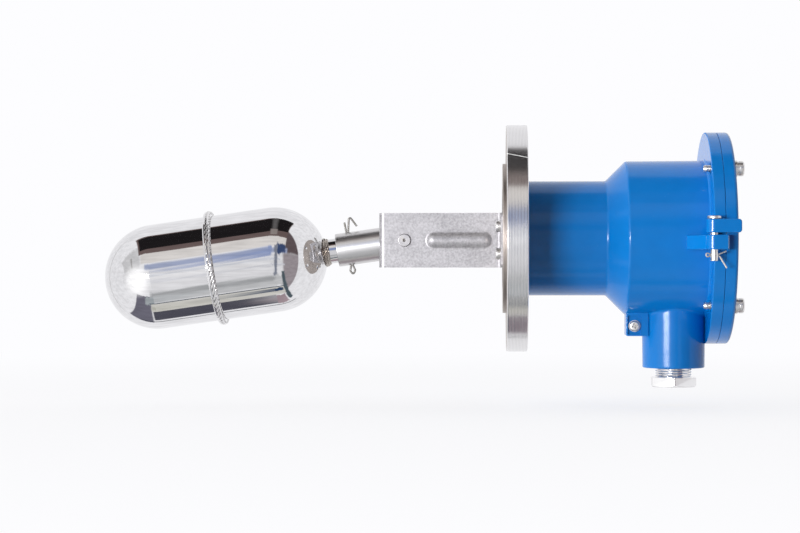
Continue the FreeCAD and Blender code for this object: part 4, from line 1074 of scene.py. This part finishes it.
@dataclass
class SubAssembly:
    """Pieces that belong together. Each kind adds its own detailed pieces in detail()."""

    first_spin: ClassVar[float] = 17.0
    next_spin: ClassVar[float] = 53.0
    smooth_to: ClassVar[float] = 32.0

    def finishes(self) -> dict[str, Finish]:
        """Finish of each node of the sub-assembly."""
        return {}

    def detail(self) -> None:
        """Builds the detailed pieces, where the sub-assembly has any."""

    def build(self) -> None:
        """Dresses the nodes and builds the detailed pieces."""
        for node, finish in self.finishes().items():
            dress_node(node, finish)
        self.detail()

    def stand_in(
        self, name: str, form: Form, node: str, finish: Finish, smooth_to: float = smooth_to
    ) -> None:
        """Puts a detailed piece in the place of a node.

        Args:
            name: The piece's name.
            form: Its form, in place.
            node: The node that it stands for.
            finish: Its finish.
            smooth_to: Edges with a sharper turn than this, in degrees, stay sharp.
        """
        piece = form.piece(name, finish, BODIES[node], smooth_to)
        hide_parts(node)

    def set_screws(
        self, name: str, node: str, screw: Screw, axis: Vector, finish: Finish, spin: float = first_spin
    ) -> None:
        """Puts detailed screws in the place of a node, one at each of its solids.

        Args:
            name: The name of the piece that holds them all.
            node: The node that they stand for.
            screw: The screw. Its length is taken from the solid.
            axis: Where the heads point, along a main axis.
            finish: Their finish.
            spin: How far the first head is turned, in degrees.
        """
        together = None
        for index, (low, high) in enumerate(solids_of(node)):
            length = abs((high - low).dot(axis))
            top = (low + high) / 2 + axis * (length / 2)
            seat = frame_along(top - axis * screw.head_height, axis, spin + self.next_spin * index)
            made = replace(screw, length=length - screw.head_height).form().moved(seat)
            together = made if together is None else together.with_form(made)
        self.stand_in(name, together, node, finish)


@dataclass
class FloatBody(SubAssembly):
    """Hollow float: two deep-drawn shells, the bead that joins their lips and the neck weld."""

    bead_half_height: float = 1.5 * MM
    bead_sink: float = 1.5 * MM
    bead_ripple: float = 0.26 * MM
    bead_around: int = 840
    bead_outer_rows: int = 44
    bead_inner_rows: int = 6
    bead_lip: float = -0.3
    bead_lip_fade: float = 0.15
    bead_side_fade: float = 0.4
    neck_radius: float = 10.1 * MM
    neck_length: float = 7.4 * MM
    neck_start: float = -0.55
    neck_wall: float = 1.0 * MM
    neck_swell: float = 2.3 * MM
    neck_rows: int = 30
    neck_around: int = 160
    neck_ripple: float = 0.75 * MM
    neck_pitch: float = 1.9 * MM
    neck_fade: float = 1.6 * MM
    neck_noise_height: float = 9.0 * MM
    neck_taper: float = 0.8
    neck_crest: float = 1.6
    neck_crest_level: float = 0.35
    weld_smooth_to: float = 60.0

    def finishes(self) -> dict[str, Finish]:
        """Polished shells with a turned boss inside."""
        return {"float_outer_shell": POLISHED, "float_inner_shell": POLISHED, "float_boss": TURNED}

    def detail(self) -> None:
        """Builds the seam bead and the neck weld."""
        self.stand_in("seam_bead", self.seam_bead(), "float_seam_weld", BEAD, self.weld_smooth_to)
        self.stand_in("neck_bead", self.neck_bead(), "float_neck_weld", WELD, self.weld_smooth_to)

    def seam_bead(self) -> Form:
        """Bead over both lips, with slanting ripples like the lay of a rope.

        Returns:
            The bead.
        """
        middle_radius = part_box("float_outer_shell")[1].y - self.bead_sink
        outer = [math.pi * row / self.bead_outer_rows for row in range(self.bead_outer_rows)]
        inner = [math.pi * (1.0 + row / self.bead_inner_rows) for row in range(self.bead_inner_rows)]
        rows = []
        for turn in outer + inner:
            height = LAY.half_width * math.cos(turn)
            rows.append((height, middle_radius + self.bead_half_height * math.sin(turn)))

        def relief(height: float, radius: float, angle: float) -> float:
            """Slanting ripples, a little uneven, beside the plain lip. See turned."""
            across = height / LAY.half_width
            if radius < middle_radius or across < self.bead_lip:
                return 0.0
            phase = LAY.phase(angle, across, math.sin)
            outside = min(1.0, (radius - middle_radius) / (self.bead_side_fade * self.bead_half_height))
            from_lip = min(1.0, (across - self.bead_lip) / self.bead_lip_fade)
            ripple = 0.4 + math.sin(phase) + 0.3 * math.sin(2.0 * phase)
            return self.bead_ripple * outside * from_lip * ripple

        return turned(rows, self.bead_around, relief, ring=True).moved(SEAM_PLACE)

    def neck_bead(self) -> Form:
        """Hand-laid weld round the rod: sharp uneven ripples that run out on to the rod.

        Returns:
            The weld.
        """
        start = self.neck_start * self.neck_length
        end = start + self.neck_length
        rows = [(start, self.neck_radius - self.neck_wall)]
        for row in range(self.neck_rows + 1):
            share = row / self.neck_rows
            swell = self.neck_swell * (1.0 - share) ** self.neck_taper
            rows.append((start + self.neck_length * share, self.neck_radius + swell))
        rows.append((end, self.neck_radius - self.neck_wall))

        def relief(height: float, radius: float, angle: float) -> float:
            """Ripples whose crests wander round the rod. See turned."""
            if radius < self.neck_radius:
                return 0.0
            spot = Vector((math.cos(angle), math.sin(angle), height / self.neck_noise_height))
            wander = 0.35 * math.sin(2.0 * angle + 0.6) + 0.8 * noise.noise(spot * 1.7)
            crest = (1.0 - (height / self.neck_pitch + wander) % 1.0) ** self.neck_crest
            fade = min(1.0, (end - height) / self.neck_fade)
            rough = 0.35 * noise.noise(spot * 6.0)
            return self.neck_ripple * fade * (crest - self.neck_crest_level + rough)

        form = turned(rows, self.neck_around, relief, ring=True)
        return form.moved(frame_along(middle("float_neck_weld"), ARM_AXIS.along))


@dataclass
class FloatArm(SubAssembly):
    """Rod, sleeve and split pin, with the magnet at the inner end."""

    def finishes(self) -> dict[str, Finish]:
        """Polished rod, turned sleeve and magnet parts, dark wire. See SubAssembly.finishes."""
        turned_parts = dict.fromkeys(("lever_bar", "magnet_can", "magnet_cap"), TURNED)
        arm = {"float_rod": POLISHED_ROD, "arm_sleeve": SLEEVE, "arm_split_pin": ARM_WIRE}
        return turned_parts | arm | {"wet_magnet": FERRITE}


@dataclass
class Bracket(SubAssembly):
    """Folded sheet bracket with its riveted pin and the screws in its feet."""

    screw: Screw = Screw(2.5 * MM, 4.75 * MM, 3.1 * MM, 10.0 * MM, 0.8 * MM)

    def finishes(self) -> dict[str, Finish]:
        """Blasted sheet, bright washers, riveted pin, nylon spacers."""
        sheet = {"arm_bracket": BLASTED, "bracket_spring_washers": FASTENER}
        return sheet | {"pivot_pin": RIVET, "pivot_spacers": NYLON}

    def detail(self) -> None:
        """Builds the foot screws."""
        self.set_screws("bracket_cross_screws", "bracket_screws", self.screw, -X_AXIS, FASTENER)


@dataclass
class Housing(SubAssembly):
    """Flange and painted housing with the screws and gaskets between them."""

    cap_screw: Screw = Screw(3.0 * MM, 5.0 * MM, 6.0 * MM, 10.0 * MM, 1.0 * MM, Drive.HEXAGON, 0.1)
    earth_screw: Screw = Screw(2.0 * MM, 4.3 * MM, 2.8 * MM, 8.0 * MM, 0.7 * MM)

    def finishes(self) -> dict[str, Finish]:
        """Turned flange, enamel, rubber and plated fasteners. See SubAssembly.finishes."""
        main_pieces = {"mounting_flange": FLANGE, "housing": PAINT, "inner_earth_clamp": BRASS}
        washers = dict.fromkeys(("housing_screw_washers", "outer_earth_washer"), FASTENER)
        return main_pieces | washers | dict.fromkeys(("neck_gasket", "cover_gasket"), RUBBER)

    def detail(self) -> None:
        """Builds the cap screws and the earth screws."""
        self.set_screws("housing_cap_screws", "housing_screws", self.cap_screw, X_AXIS, DARK_FASTENER)
        for side, axis in (("outer", -Y_AXIS), ("inner", X_AXIS)):
            node = f"{side}_earth_screw"
            self.set_screws(f"{side}_earth_cross_screw", node, self.earth_screw, axis, FASTENER)


@dataclass
class Cover(SubAssembly):
    """Hinged cover with its pin, split pin and bolts."""

    bolt: Screw = Screw(3.0 * MM, 6.0 * MM, 4.0 * MM, 25.0 * MM, 1.0 * MM, Drive.CROSS, 0.42)
    bolt_numbers: ClassVar[tuple[int, ...]] = (1, 2, 3, 4)
    bolt_spin: float = 31.0

    def finishes(self) -> dict[str, Finish]:
        """Enamel, plated pin and washers, bright wire."""
        washers = {f"cover_washers_{number}": FASTENER for number in self.bolt_numbers}
        return washers | {"cover": PAINT, "hinge_pin": FASTENER, "hinge_split_pin": WIRE}

    def detail(self) -> None:
        """Builds the cover bolts."""
        for number in self.bolt_numbers:
            name, node = f"cover_cross_bolt_{number}", f"cover_bolt_{number}"
            self.set_screws(name, node, self.bolt, X_AXIS, FASTENER, self.bolt_spin * (number - 1))


@dataclass
class Gland(SubAssembly):
    """Cable gland: threaded nut with a hexagon, its washer and its sealing bush."""

    thread_radius: float = 14.9 * MM
    thread_pitch: float = 2.0 * MM
    thread_depth: float = 1.1 * MM
    thread_rows_per_turn: int = 10
    thread_end_gap: float = 0.5 * MM
    hex_flats: float = 18.0 * MM
    hex_height: float = 7.6 * MM
    hex_turn: float = 27.0
    hex_chamfer: float = 30.0
    chamfer_inset: float = 0.4 * MM
    bore_radius: float = 7.0 * MM
    edge: float = 0.8 * MM
    around: int = 96
    cutter_margin: float = 1.0 * MM
    barrel_margin: float = 0.2 * MM

    def finishes(self) -> dict[str, Finish]:
        """Steel washer and rubber bush."""
        return {"gland_washer": FASTENER, "gland_bush": RUBBER}

    def detail(self) -> None:
        """Builds the nut."""
        self.stand_in("gland_hex_nut", self.nut(), "gland_nut", NICKEL)

    def nut(self) -> Form:
        """Threaded nut with its bore, hexagon and chamfers.

        Returns:
            The nut.
        """
        low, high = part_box("gland_nut")
        top = high.z - low.z
        thread = Thread(
            self.hex_height + self.chamfer_inset,
            top - self.thread_end_gap,
            self.thread_pitch,
            self.thread_depth,
            self.thread_rows_per_turn,
        )
        corner = self.hex_flats / math.cos(math.pi / 6)
        chamfer = (corner - self.hex_flats + self.chamfer_inset) * math.tan(math.radians(self.hex_chamfer))
        hexagon_rows = [
            (0.0, self.bore_radius + self.edge),
            (0.0, self.hex_flats - self.chamfer_inset),
            (chamfer, corner),
            (self.hex_height, corner),
            (self.hex_height, self.thread_radius),
        ]
        bore_rows = [
            (top, self.thread_radius - self.thread_depth),
            (top, self.bore_radius),
            (self.edge, self.bore_radius),
        ]
        rows = hexagon_rows + thread.rows(self.thread_radius) + bore_rows
        blank = turned(rows, self.around, thread.relief, ring=True)
        hexagon = prism(polygon(6, self.hex_flats, self.hex_turn), -self.cutter_margin, self.hex_height)
        round_outline = polygon(self.around, self.thread_radius + self.barrel_margin)
        barrel = prism(round_outline, self.hex_height, top + self.cutter_margin)
        nut = blank.combined("INTERSECT", hexagon.combined("UNION", barrel))
        return nut.moved(Matrix.Translation((GLAND_AXIS.through.x, GLAND_AXIS.through.y, low.z)))


@dataclass
class ContactSet(SubAssembly):
    """Dry side: moulded base on two posts, contacts, terminals and the magnet lever."""

    terminal: Screw = Screw(2.0 * MM, 3.8 * MM, 2.6 * MM, 6.0 * MM, 0.7 * MM, Drive.SLOT)
    base_screw: Screw = Screw(2.0 * MM, 3.8 * MM, 2.6 * MM, 8.0 * MM, 0.7 * MM)
    cheek_screw: Screw = Screw(1.5 * MM, 2.85 * MM, 2.0 * MM, 6.0 * MM, 0.5 * MM, Drive.SLOT)

    def finishes(self) -> dict[str, Finish]:
        """Brown moulding, brass contacts, turned magnet can. See SubAssembly.finishes."""
        fixed_brass = ("terminal_clamps", "pivot_cheeks", "upper_contacts", "lower_contacts")
        moved_brass = ("contact_lever", "contact_bridge")
        return (
            dict.fromkeys(fixed_brass + moved_brass, BRASS)
            | dict.fromkeys(("dry_magnet_can", "dry_magnet_cap"), TURNED)
            | dict.fromkeys(("contact_base", "bridge_carrier"), BASE)
            | dict.fromkeys(("base_posts", "contact_pin"), FASTENER)
            | {"dry_magnet": FERRITE}
        )

    def detail(self) -> None:
        """Builds the screws of the base, the cheeks and the terminals."""
        sets = (
            ("terminal_slot_screws", "terminal_screws", self.terminal),
            ("base_cross_screws", "base_screws", self.base_screw),
            ("cheek_slot_screws", "cheek_screws", self.cheek_screw),
        )
        for name, node, screw in sets:
            self.set_screws(name, node, screw, head_axis(node), FASTENER)


@dataclass(frozen=True)
class Band:
    """A stretch of the studio as the polished steel mirrors it.

    Its height is an angle round the X axis, from 0 towards the camera to 90 straight up and
    -90 straight down. Its sides are a slope along X. Its tilt is how many degrees it climbs
    in a slope of 1, ragged is how many degrees its edges wander, and bow is how far its right
    side draws in towards straight up and down.
    """

    side_blur: ClassVar[float] = 0.015
    side_blur_per_degree: ClassVar[float] = 0.005
    side_ragged: ClassVar[float] = 0.006

    low: float
    high: float
    left: float
    right: float
    colour: Colour
    blur: float = 1.0
    tilt: float = 0.0
    ragged: float = 0.0
    bow: float = 0.0

    def mask(self, height: Signal, slope: Signal, unrest: Signal, stray: Signal) -> Signal:
        """Where the band is seen.

        Args:
            height: The angle round the X axis, in degrees.
            slope: The slope along X.
            unrest: What moves the band's lower and upper edge, from -0.5 to 0.5.
            stray: What moves its sides, from -0.5 to 0.5.

        Returns:
            1 on the band and 0 off it.
        """
        level = height - slope * self.tilt + unrest * self.ragged
        inside = level.band(self.low, self.high, self.blur)
        side = self.side_blur + self.blur * self.side_blur_per_degree
        across = slope + stray * (self.ragged * self.side_ragged)
        bowed = across
        if self.bow:
            bowed = across + (height * height) * (self.bow / 90.0**2)
        right_of = across.rise(self.left - side, self.left + side)
        return inside * right_of * bowed.rise(self.right + side, self.right - side)


BACKDROP = (0.982, 0.982, 1.0)
STUDIO_BANDS = (
    Band(-34.0, 12.0, -3.0, 0.6, (0.84, 0.84, 0.86), 6.0, ragged=12.0),
    Band(15.0, 75.0, -2.6, -0.6, (0.68, 0.68, 0.69), 10.0, ragged=26.0),
    Band(24.0, 54.0, -1.22, -1.08, (0.42, 0.41, 0.41), 4.0, ragged=20.0),
    Band(-122.0, -45.0, -0.74, -0.14, (0.17, 0.165, 0.21), 2.0, ragged=5.0),
    Band(-80.0, 14.0, 0.42, 1.6, (0.36, 0.32, 0.34), 9.0, ragged=6.0, bow=1.7),
    Band(14.0, 98.0, 0.42, 1.6, (0.13, 0.10, 0.105), 12.0, ragged=12.0, bow=1.7),
    Band(52.0, 103.0, -0.64, 0.5, (0.16, 0.115, 0.11), ragged=1.5),
    Band(66.0, 102.0, -0.575, 0.483, (0.014, 0.012, 0.013), tilt=5.7, ragged=1.0),
    Band(71.0, 102.0, -0.05, 0.08, (0.13, 0.125, 0.125), 6.0, ragged=14.0),
    Band(57.0, 71.0, -0.1, 0.12, (0.31, 0.27, 0.255), 3.0, ragged=2.0),
    Band(30.0, 53.0, -0.55, 0.5, (0.80, 0.77, 0.74), 2.0, ragged=5.0),
    Band(15.0, 27.0, -0.38, 0.6, (0.40, 0.45, 0.62), 6.0, ragged=16.0),
    Band(8.0, 31.0, -0.165, -0.03, (0.30, 0.37, 0.60), 4.0, ragged=22.0),
    Band(14.0, 36.0, 0.16, 0.5, (0.05, 0.08, 0.18), 5.0, ragged=30.0),
    Band(0.0, 4.0, -0.3, 0.3, (0.62, 0.65, 0.72), 4.0, ragged=24.0),
    Band(-13.0, -9.0, -0.3, 0.5, (0.66, 0.67, 0.72), 4.0, ragged=24.0),
    Band(-48.0, 34.0, 0.06, 0.17, (0.24, 0.26, 0.32), 3.0, ragged=24.0),
    Band(-60.0, -34.0, -0.16, 0.45, (0.62, 0.63, 0.64), 6.0, ragged=26.0),
    Band(-66.0, -46.0, -0.34, -0.05, (0.40, 0.44, 0.46), 6.0, ragged=20.0),
    Band(-46.0, -37.0, -0.14, 0.1, (0.42, 0.43, 0.44), 6.0, ragged=26.0),
    Band(-63.5, -61.5, -0.2, 0.5, (0.05, 0.07, 0.10), 0.5, ragged=1.0),
    Band(-84.0, -63.5, -0.14, 0.45, (0.70, 0.69, 0.64), ragged=1.0),
    Band(-80.0, -70.0, -0.14, 0.0, (0.52, 0.52, 0.46), 4.0, ragged=26.0),
    Band(-112.0, -84.0, -0.11, 0.047, (0.085, 0.085, 0.11), ragged=1.0),
    Band(-114.0, -86.0, 0.05, 0.3, (0.40, 0.31, 0.34), 2.0, ragged=16.0),
    Band(-120.0, -118.0, -0.42, 0.42, (0.04, 0.05, 0.06), 0.5),
    Band(-104.0, -28.0, 0.34, 0.47, (0.09, 0.12, 0.14), 2.0, ragged=16.0),
    Band(-74.0, -66.0, 0.024, 0.3, (0.03, 0.06, 0.13), 2.0, ragged=10.0),
)


def direction_towards(azimuth: float, lift: float) -> Vector:
    """Direction from the origin.

    Args:
        azimuth: Degrees from in front of the part towards the float.
        lift: Degrees above the horizontal.

    Returns:
        The direction.
    """
    turn = math.radians(azimuth)
    rise = math.radians(lift)
    return Vector((-math.sin(turn) * math.cos(rise), -math.cos(turn) * math.cos(rise), math.sin(rise)))


def grey(level: float) -> Colour:
    """Grey of a level."""
    return (level, level, level)


@dataclass
class Surroundings:
    """Plain pale studio with the darker stretches that polished steel mirrors.

    Matt surfaces are lit by a broad soft ring on the float's side, so the flange shades the
    neck behind it.
    """

    white: Colour = (0.93, 0.93, 0.95)
    wander: Grain = Grain(1.6, 4.0, 0.65)
    wall_slope: float = -0.135
    wall_sharpness: float = 8.0
    wall_wander: float = 4.0
    open_wander: float = 5.0
    unrest_height: float = 60.0
    stray_height: float = 22.0
    glow: Colour = grey(1.34)
    glow_azimuth: float = 38.0
    glow_lift: float = -9.0
    glow_edge: tuple[float, float] = (0.78, 1.0)
    glow_falloff: float = 1.5
    arc: Colour = (0.4, 0.39, 0.38)
    arc_band: tuple[float, float, float] = (0.5, 0.54, 0.03)
    arc_end: tuple[float, float] = (-0.5, -0.75)
    arc_share: float = 0.5
    front: Colour = grey(0.03)
    steep: Colour = grey(0.6)
    steep_edge: tuple[float, float] = (0.35, 0.95)
    behind: Colour = grey(1.1)
    behind_edge: tuple[float, float] = (-0.1, 0.4)
    far_left: Colour = grey(0.5)
    far_left_edge: tuple[float, float] = (-2.4, -3.0)
    left: Colour = grey(2.1)
    left_band: tuple[float, float, float] = (-2.4, -0.75, 0.2)

    def build(self) -> None:
        """Builds the world, which differs for mirrors, for matt surfaces and for the camera."""
        world = bpy.data.worlds.new("studio")
        bpy.context.scene.world = world
        tree = NodeTree(world)
        direction = tree.signal("ShaderNodeTexCoord", output="Generated")
        parts = tree.node("ShaderNodeSeparateXYZ", None, {0: direction})
        x, y, z = (Signal(tree, parts.outputs[index]) for index in range(3))
        slope = x / (y * y + z * z).math("SQRT").most(1e-4)
        mirrored = self.mirrored(direction, x, y, z, slope)
        lit = tree.mixed(tree.rays("Is Glossy Ray"), self.ambient(y, z, slope), mirrored)
        seen = tree.rays("Is Camera Ray").most(tree.rays("Is Transmission Ray"))
        shown = tree.mixed(seen, lit, BACKDROP)
        background = tree.signal("ShaderNodeBackground", None, {"Color": shown, "Strength": 1.0})
        tree.node("ShaderNodeOutputWorld", None, {"Surface": background})

    def mirrored(self, direction: Signal, x: Signal, y: Signal, z: Signal, slope: Signal) -> Signal:
        """What polished surfaces mirror: the bands, a glow beside the camera and a faint arc.

        Args:
            direction: The direction in which the world is looked at.
            x: Its part along X.
            y: Its part along Y.
            z: Its part along Z.
            slope: Its slope along X.

        Returns:
            The colour.
        """
        tree = direction.tree
        height = z.math("ARCTAN2", -y) * (180.0 / math.pi)
        # The float's straight wall mirrors only a few slopes, so edges wander fastest there.
        near_wall = ((slope - self.wall_slope) * self.wall_sharpness).math("TANH")
        along = near_wall * self.wall_wander + slope * self.open_wander
        unrest, stray = (
            self.wander.over(tree, tree.combined(along, height / swell, layer)) - 0.5
            for swell, layer in ((self.unrest_height, 0.0), (self.stray_height, 3.0))
        )
        colour = tree.mixed(0.0, self.white, self.white)
        for band in STUDIO_BANDS:
            colour = tree.mixed(band.mask(height, slope, unrest, stray), colour, band.colour)
        to_glow = tree.along(direction, direction_towards(self.glow_azimuth, self.glow_lift))
        colour = tree.mixed(to_glow.rise(*self.glow_edge) ** self.glow_falloff, colour, self.glow)
        arc = y.band(*self.arc_band) * x.rise(*self.arc_end)
        return tree.mixed(arc * self.arc_share, colour, self.arc)

    def ambient(self, y: Signal, z: Signal, slope: Signal) -> Signal:
        """Light on matt surfaces, by where it comes from.

        Args:
            y: The direction's part along Y.
            z: The direction's part along Z.
            slope: Its slope along X.

        Returns:
            The colour.
        """
        tree = slope.tree
        light = tree.mixed(z.size().rise(*self.steep_edge), self.front, self.steep)
        light = tree.mixed(y.rise(*self.behind_edge), light, self.behind)
        light = tree.mixed(slope.rise(*self.far_left_edge), light, self.far_left)
        return tree.mixed(slope.band(*self.left_band), light, self.left)


@dataclass(frozen=True)
class Lamp:
    """Upright area light that faces the origin.

    Its azimuth is counted from in front of the part towards the float, its lift from the
    horizontal.
    """

    name: str
    azimuth: float
    lift: float
    width: float
    tall: float
    radiance: float
    distance: float = 3.0

    def build(self) -> None:
        """Builds the light."""
        out = direction_towards(self.azimuth, self.lift)
        data = bpy.data.lights.new(self.name, "AREA")
        data.shape = "RECTANGLE"
        data.size = self.width
        data.size_y = self.tall
        data.energy = self.radiance * math.pi * self.width * self.tall
        light = bpy.data.objects.new(self.name, data)
        light.location = out * self.distance
        light.rotation_euler = (-out).to_track_quat("-Z", "Y").to_euler()
        bpy.context.collection.objects.link(light)
        LOG.info("%s light at %s", self.name, tuple(round(part, 3) for part in light.location))


@dataclass
class Studio:
    """Plain floor, one soft light and the camera of the photograph."""

    # The gland nut draws 14 mm down and stays above the floor.
    floor_drop: float = 15 * MM
    floor_size: float = 60.0
    floor_colour: Colour = (0.9, 0.9, 0.91)
    shadow_share: float = 0.2
    shadow_near: float = 0.3
    shadow_far: float = 1.2
    key: Lamp = Lamp("key", 28.0, 0.0, 1.0, 0.36, 57.0)
    camera_place: Vector = field(default_factory=lambda: Vector((-12.9, -1770.0, -25.4)) * MM)
    camera_yaw: float = 2.30
    camera_pitch: float = 0.08
    camera_roll: float = 0.03
    lens: float = 97.2
    clip: tuple[float, float] = (0.05, 100.0)

    def build(self) -> None:
        """Builds the surroundings, the floor, the light and the camera."""
        Surroundings().build()
        self.build_floor()
        self.key.build()
        self.build_camera()

    def build_floor(self) -> None:
        """Pale floor under the part, with its shadow. Only the camera sees it."""
        z = CAD_BOX[0].z - self.floor_drop
        half = self.floor_size / 2
        mesh = bpy.data.meshes.new("floor")
        mesh.from_pydata([(x, y, z) for x, y in oblong(half, half)], [], [(0, 1, 2, 3)])
        mesh.materials.append(self.floor_material())
        floor = bpy.data.objects.new("floor", mesh)
        bpy.context.collection.objects.link(floor)
        LOG.info("floor at %.4f m", z)

    def floor_material(self) -> bpy.types.Material:
        """Partly matt near the part, where its shadow falls, and plain backdrop further off.

        Returns:
            The material.
        """
        material = bpy.data.materials.new("floor")
        tree = NodeTree(material)
        matt = tree.signal("ShaderNodeBsdfDiffuse", None, {"Color": (*self.floor_colour, 1.0)})
        pale = tree.signal("ShaderNodeEmission", None, {"Color": (*BACKDROP, 1.0), "Strength": 1.0})
        clear = tree.signal("ShaderNodeBsdfTransparent")
        away = tree.length(tree.place()).rise(self.shadow_near, self.shadow_far)
        share = 1.0 - (1.0 - away) * self.shadow_share
        lit = tree.signal("ShaderNodeMixShader", None, {0: share, 1: matt, 2: pale})
        seen = tree.rays("Is Camera Ray")
        whole = tree.signal("ShaderNodeMixShader", None, {0: seen, 1: clear, 2: lit})
        tree.node("ShaderNodeOutputMaterial", None, {"Surface": whole})
        return material

    def build_camera(self) -> None:
        """Camera at the photograph's place."""
        data = bpy.data.cameras.new("camera")
        data.lens = self.lens
        data.clip_start, data.clip_end = self.clip
        camera = bpy.data.objects.new("camera", data)
        camera.location = self.camera_place
        turns = (90.0 + self.camera_pitch, self.camera_roll, self.camera_yaw)
        camera.rotation_euler = tuple(math.radians(turn) for turn in turns)
        bpy.context.collection.objects.link(camera)
        bpy.context.scene.camera = camera
        LOG.info("camera with a %.1f mm lens", self.lens)


def main() -> None:
    """Builds and dresses the whole part, then the studio around it."""
    logging.basicConfig(level=logging.INFO, format="%(message)s")
    bpy.context.scene.view_settings.view_transform = "Standard"
    for sub_assembly in (FloatBody(), FloatArm(), Bracket(), Housing(), Cover(), Gland(), ContactSet()):
        LOG.info("%s", type(sub_assembly).__name__)
        sub_assembly.build()
    Studio().build()


if __name__ == "__main__":
    main()
